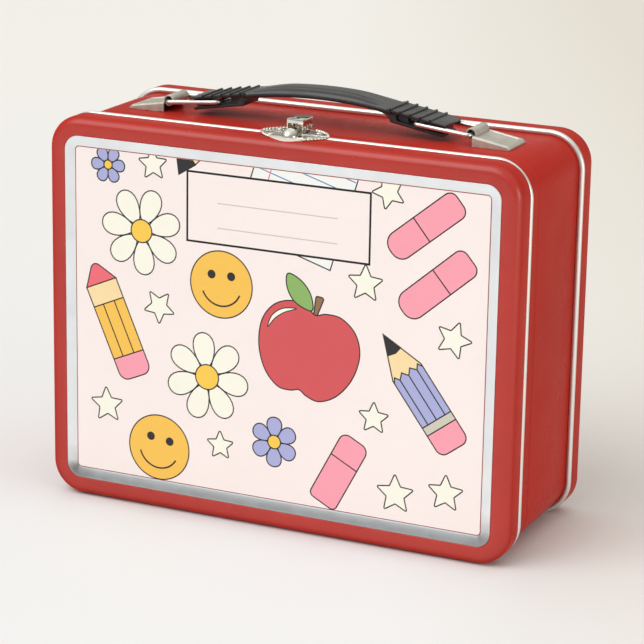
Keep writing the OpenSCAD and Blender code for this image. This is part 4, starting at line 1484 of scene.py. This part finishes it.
class LUNCHBOX_OT_latch(bpy.types.Operator):
    """Build the latch plates with their rope edge, the keeper, the lever and the rivets"""

    bl_idname = "lunchbox.latch"
    bl_label = "Latch"

    def execute(self, context):
        chosen = context.scene.lunchbox_hardware
        rope = boss_edge_tree()
        rivets = rivet_tree()
        nickel, wire = nickel_plate(), drawn_wire()
        a, b = (LID_PLATE_HIGH.x - LID_PLATE_LOW.x) / 2, 10.3
        y0 = -BEAD_Y - 0.6
        radius = (a * a + b * b) / (2 * b)
        half = math.asin(a / radius)
        for name, node, body, sign, z, pick in (
            ("latch_plate_rear", "latch_body_plate", "case", 1, REAR_PLATE_TOP, (0.31, 0.93)),
            ("latch_plate_front", "latch_lid_plate", "lid", -1, LID_PLATE_HIGH.z, (0.45, 0.86)),
        ):
            lines = []
            for side in (-1, 1):
                line = []
                for k in range(25):
                    t = half * (pick[0] + (pick[1] - pick[0]) * k / 24)
                    y = y0 + sign * (radius * math.cos(t) + b - radius)
                    line.append((LATCH_X + side * radius * math.sin(t), y, z - 0.15))
                lines.append(line)
            bosses = grown_from(
                rope, name + "_rope", path_mesh(name + "_line", lines), pitch=chosen.rope_pitch,
                boss_radius=1.0 * MM, boss_shape=(1.0, 0.62, 0.55), lean=0.6, finish=nickel, sharp=80,
            )
            piece = eased_copy(node, name, nickel, chosen.edge)
            bm = bmesh.new()
            bm.from_mesh(piece.data)
            bm.from_mesh(bosses.data)
            for spare in (piece, bosses):
                bpy.data.objects.remove(spare)
            settle(as_object(bm, name, [nickel], sharp=40), body, "nickel_plate", node)
        for node, name, body, finish, slot in (
            ("latch_keeper", "keeper_dome", "lid", nickel, "nickel_plate"),
            ("latch_lever", "snap_lever", "lever", nickel, "nickel_plate"),
            ("latch_pin", "lever_pin", "case", wire, "steel_wire"),
        ):
            settle(eased_copy(node, name, finish, chosen.edge), body, slot, node)
        for node, name, body in (
            ("latch_body_rivets", "body_rivets", "case"),
            ("latch_lid_rivets", "lid_rivets", "lid"),
        ):
            low, high = mm_box(node)
            y = (low.y + high.y) / 2
            seat = high.z - 0.45
            heads = grown_from(
                rivets, name, path_mesh(name + "_line", [[(LATCH_X - 9, y, seat)], [(LATCH_X + 9, y, seat)]]),
                head_radius=1.3 * MM, head_shape=(1, 1, 0.34), shank_radius=0.8 * MM,
                shank_length=(seat - low.z - 0.44) * MM, finish=wire,
            )
            settle(heads, body, "steel_wire", node)
        return {"FINISHED"}


# ---------------------------------------------------------------- studio


KEY_SPREAD = math.radians(52)
FLOOR_R = 30.0


def soft_light(name, place, target, size, power):
    """A rectangular lamp of the given size, or a broad even light from far off where size is None."""
    data = bpy.data.lights.new(name, "AREA" if size else "SUN")
    if size:
        data.shape = "RECTANGLE"
        data.size, data.size_y = size
    else:
        data.angle = KEY_SPREAD
    data.energy = power
    lamp = bpy.data.objects.new(name, data)
    lamp.location = place
    lamp.rotation_euler = (Vector(target) - Vector(place)).to_track_quat("-Z", "Y").to_euler()
    bpy.context.scene.collection.objects.link(lamp)


class LUNCHBOX_OT_studio(bpy.types.Operator):
    """Lay a pale floor with painted shade off to the right, light it softly and set the camera"""

    bl_idname = "lunchbox.studio"
    bl_label = "Studio"

    def execute(self, context):
        chosen = context.scene.lunchbox_studio
        self.floor(chosen)
        self.room(chosen)
        soft_light("key_light", (-0.75, -1.25, 1.55), (0, 0, 0.08), None, chosen.key)
        soft_light("fill_light", (1.25, -0.25, 0.30), (0.1, 0, 0.10), (0.7, 0.5), chosen.fill)
        self.camera(chosen)
        context.scene.view_settings.view_transform = "Standard"
        return {"FINISHED"}

    def floor(self, chosen):
        """A wide floor, painted darker and warmer off to the right as painted shade, that is seen from above and
        lets a view from below through.
        """
        bm = bmesh.new()
        bmesh.ops.create_circle(bm, cap_ends=True, segments=96, radius=FLOOR_R)
        made, tree, shader = new_finish("studio_floor", Specular_IOR_Level=0.2)
        rough = grouped(tree, grain_group(), scale=120.0, detail=4.0, low=0.55, high=0.7)
        where = put(tree, "ShaderNodeTexCoord")
        axes = put(tree, "ShaderNodeSeparateXYZ", Vector=where.outputs["Object"])
        far = put(tree, "ShaderNodeMapRange", Value=axes.outputs["Y"], From_Min=-0.1, From_Max=0.9)
        # Painted shade: the floor's colour turns darker and warmer towards the right of the box.
        across = put(tree, "ShaderNodeVectorMath", in0=where.outputs["Object"], in1=(0.91, 0.42, 0))
        across.operation = "DOT_PRODUCT"
        painted_shade_reach = put(tree, "ShaderNodeMapRange", Value=across.outputs["Value"], From_Min=0.02, From_Max=0.26)
        sweep = mixed(tree, far.outputs[0], rgba(chosen.floor), rgba(chosen.backdrop))
        tree.links.new(mixed(tree, painted_shade_reach.outputs[0], sweep, rgba(chosen.shaded)), shader.inputs["Base Color"])
        tree.links.new(rough.outputs["Value"], shader.inputs["Roughness"])
        side, clear, either = (tree.nodes.new("ShaderNode" + kind) for kind in
                               ("NewGeometry", "BsdfTransparent", "MixShader"))
        tree.links.new(side.outputs["Backfacing"], either.inputs[0])
        tree.links.new(shader.outputs[0], either.inputs[1])
        tree.links.new(clear.outputs[0], either.inputs[2])
        tree.links.new(either.outputs[0], tree.nodes["Material Output"].inputs["Surface"])
        floor = as_object(bm, "studio_floor", [made], recalc=False)

    def room(self, chosen):
        """Room light that is brighter overhead and falls off, warmer, to the right."""
        world = bpy.data.worlds.new("studio_room")
        world.use_nodes = True
        tree = world.node_tree
        where = put(tree, "ShaderNodeTexCoord")
        axes = put(tree, "ShaderNodeSeparateXYZ", Vector=where.outputs["Generated"])
        rise = put(tree, "ShaderNodeMapRange", Value=axes.outputs["Z"], From_Min=0.1, From_Max=0.8)
        back = tree.nodes["Background"]
        height = mixed(tree, rise.outputs[0], (0.38, 0.37, 0.335, 1), (1.42, 1.39, 1.31, 1))
        right = put(tree, "ShaderNodeMapRange", Value=axes.outputs["X"], From_Min=0.1, From_Max=0.9,
                    To_Max=0.7)
        tree.links.new(mixed(tree, right.outputs[0], height, (0.30, 0.27, 0.22, 1)), back.inputs["Color"])
        back.inputs["Strength"].default_value = chosen.sky
        bpy.context.scene.world = world

    def camera(self, chosen):
        az, el, roll = chosen.azimuth, chosen.elevation, chosen.roll
        back = Vector((math.sin(az) * math.cos(el), -math.cos(az) * math.cos(el), math.sin(el)))
        right = Vector((math.cos(az), math.sin(az), 0))
        up = back.cross(right)
        c, s = math.cos(roll), math.sin(roll)
        side, top = right * c + up * s, up * c - right * s
        data = bpy.data.cameras.new("studio_camera")
        data.lens = chosen.lens
        data.sensor_width = 36
        data.clip_start, data.clip_end = 0.05, 50
        camera = bpy.data.objects.new("studio_camera", data)
        turn = Matrix((side, top, back)).transposed().to_4x4()
        camera.matrix_world = Matrix.Translation(chosen.camera_at) @ turn
        bpy.context.scene.collection.objects.link(camera)
        bpy.context.scene.camera = camera


# ---------------------------------------------------------------- sidebar and registration


class LUNCHBOX_PT_sidebar(bpy.types.Panel):
    """Lists the pieces and their settings"""

    bl_label = "Metal Lunch Box"
    bl_idname = "LUNCHBOX_PT_sidebar"
    bl_space_type = "VIEW_3D"
    bl_region_type = "UI"
    bl_category = "Lunch Box"

    def draw(self, context):
        for title, key, operators in SECTIONS:
            box = self.layout.box()
            box.label(text=title)
            settings = getattr(context.scene, key)
            for name in settings.bl_rna.properties.keys():
                if name not in ("rna_type", "name"):
                    box.prop(settings, name)
            for operator in operators:
                box.operator(operator)


SECTIONS = (
    ("Case", "lunchbox_sheet", ("lunchbox.case", "lunchbox.beads")),
    ("Picture", "lunchbox_picture", ("lunchbox.picture",)),
    ("Hardware", "lunchbox_hardware", ("lunchbox.hinges", "lunchbox.handle", "lunchbox.latch")),
    ("Studio", "lunchbox_studio", ("lunchbox.studio",)),
)
SETTINGS = {
    "lunchbox_sheet": LunchboxSheetSettings,
    "lunchbox_picture": LunchboxPictureSettings,
    "lunchbox_hardware": LunchboxHardwareSettings,
    "lunchbox_studio": LunchboxStudioSettings,
}
CLASSES = (
    *SETTINGS.values(),
    LUNCHBOX_OT_case,
    LUNCHBOX_OT_beads,
    LUNCHBOX_OT_picture,
    LUNCHBOX_OT_hinges,
    LUNCHBOX_OT_handle,
    LUNCHBOX_OT_latch,
    LUNCHBOX_OT_studio,
    LUNCHBOX_PT_sidebar,
)


def register():
    for cls in CLASSES:
        bpy.utils.register_class(cls)
    for key, group in SETTINGS.items():
        setattr(bpy.types.Scene, key, PointerProperty(type=group))


def unregister():
    for key in SETTINGS:
        delattr(bpy.types.Scene, key)
    for cls in reversed(CLASSES):
        bpy.utils.unregister_class(cls)


def main():
    register()
    for _, _, operators in SECTIONS:
        for name in operators:
            group, call = name.split(".")
            getattr(getattr(bpy.ops, group), call)()


if __name__ == "__main__":
    main()
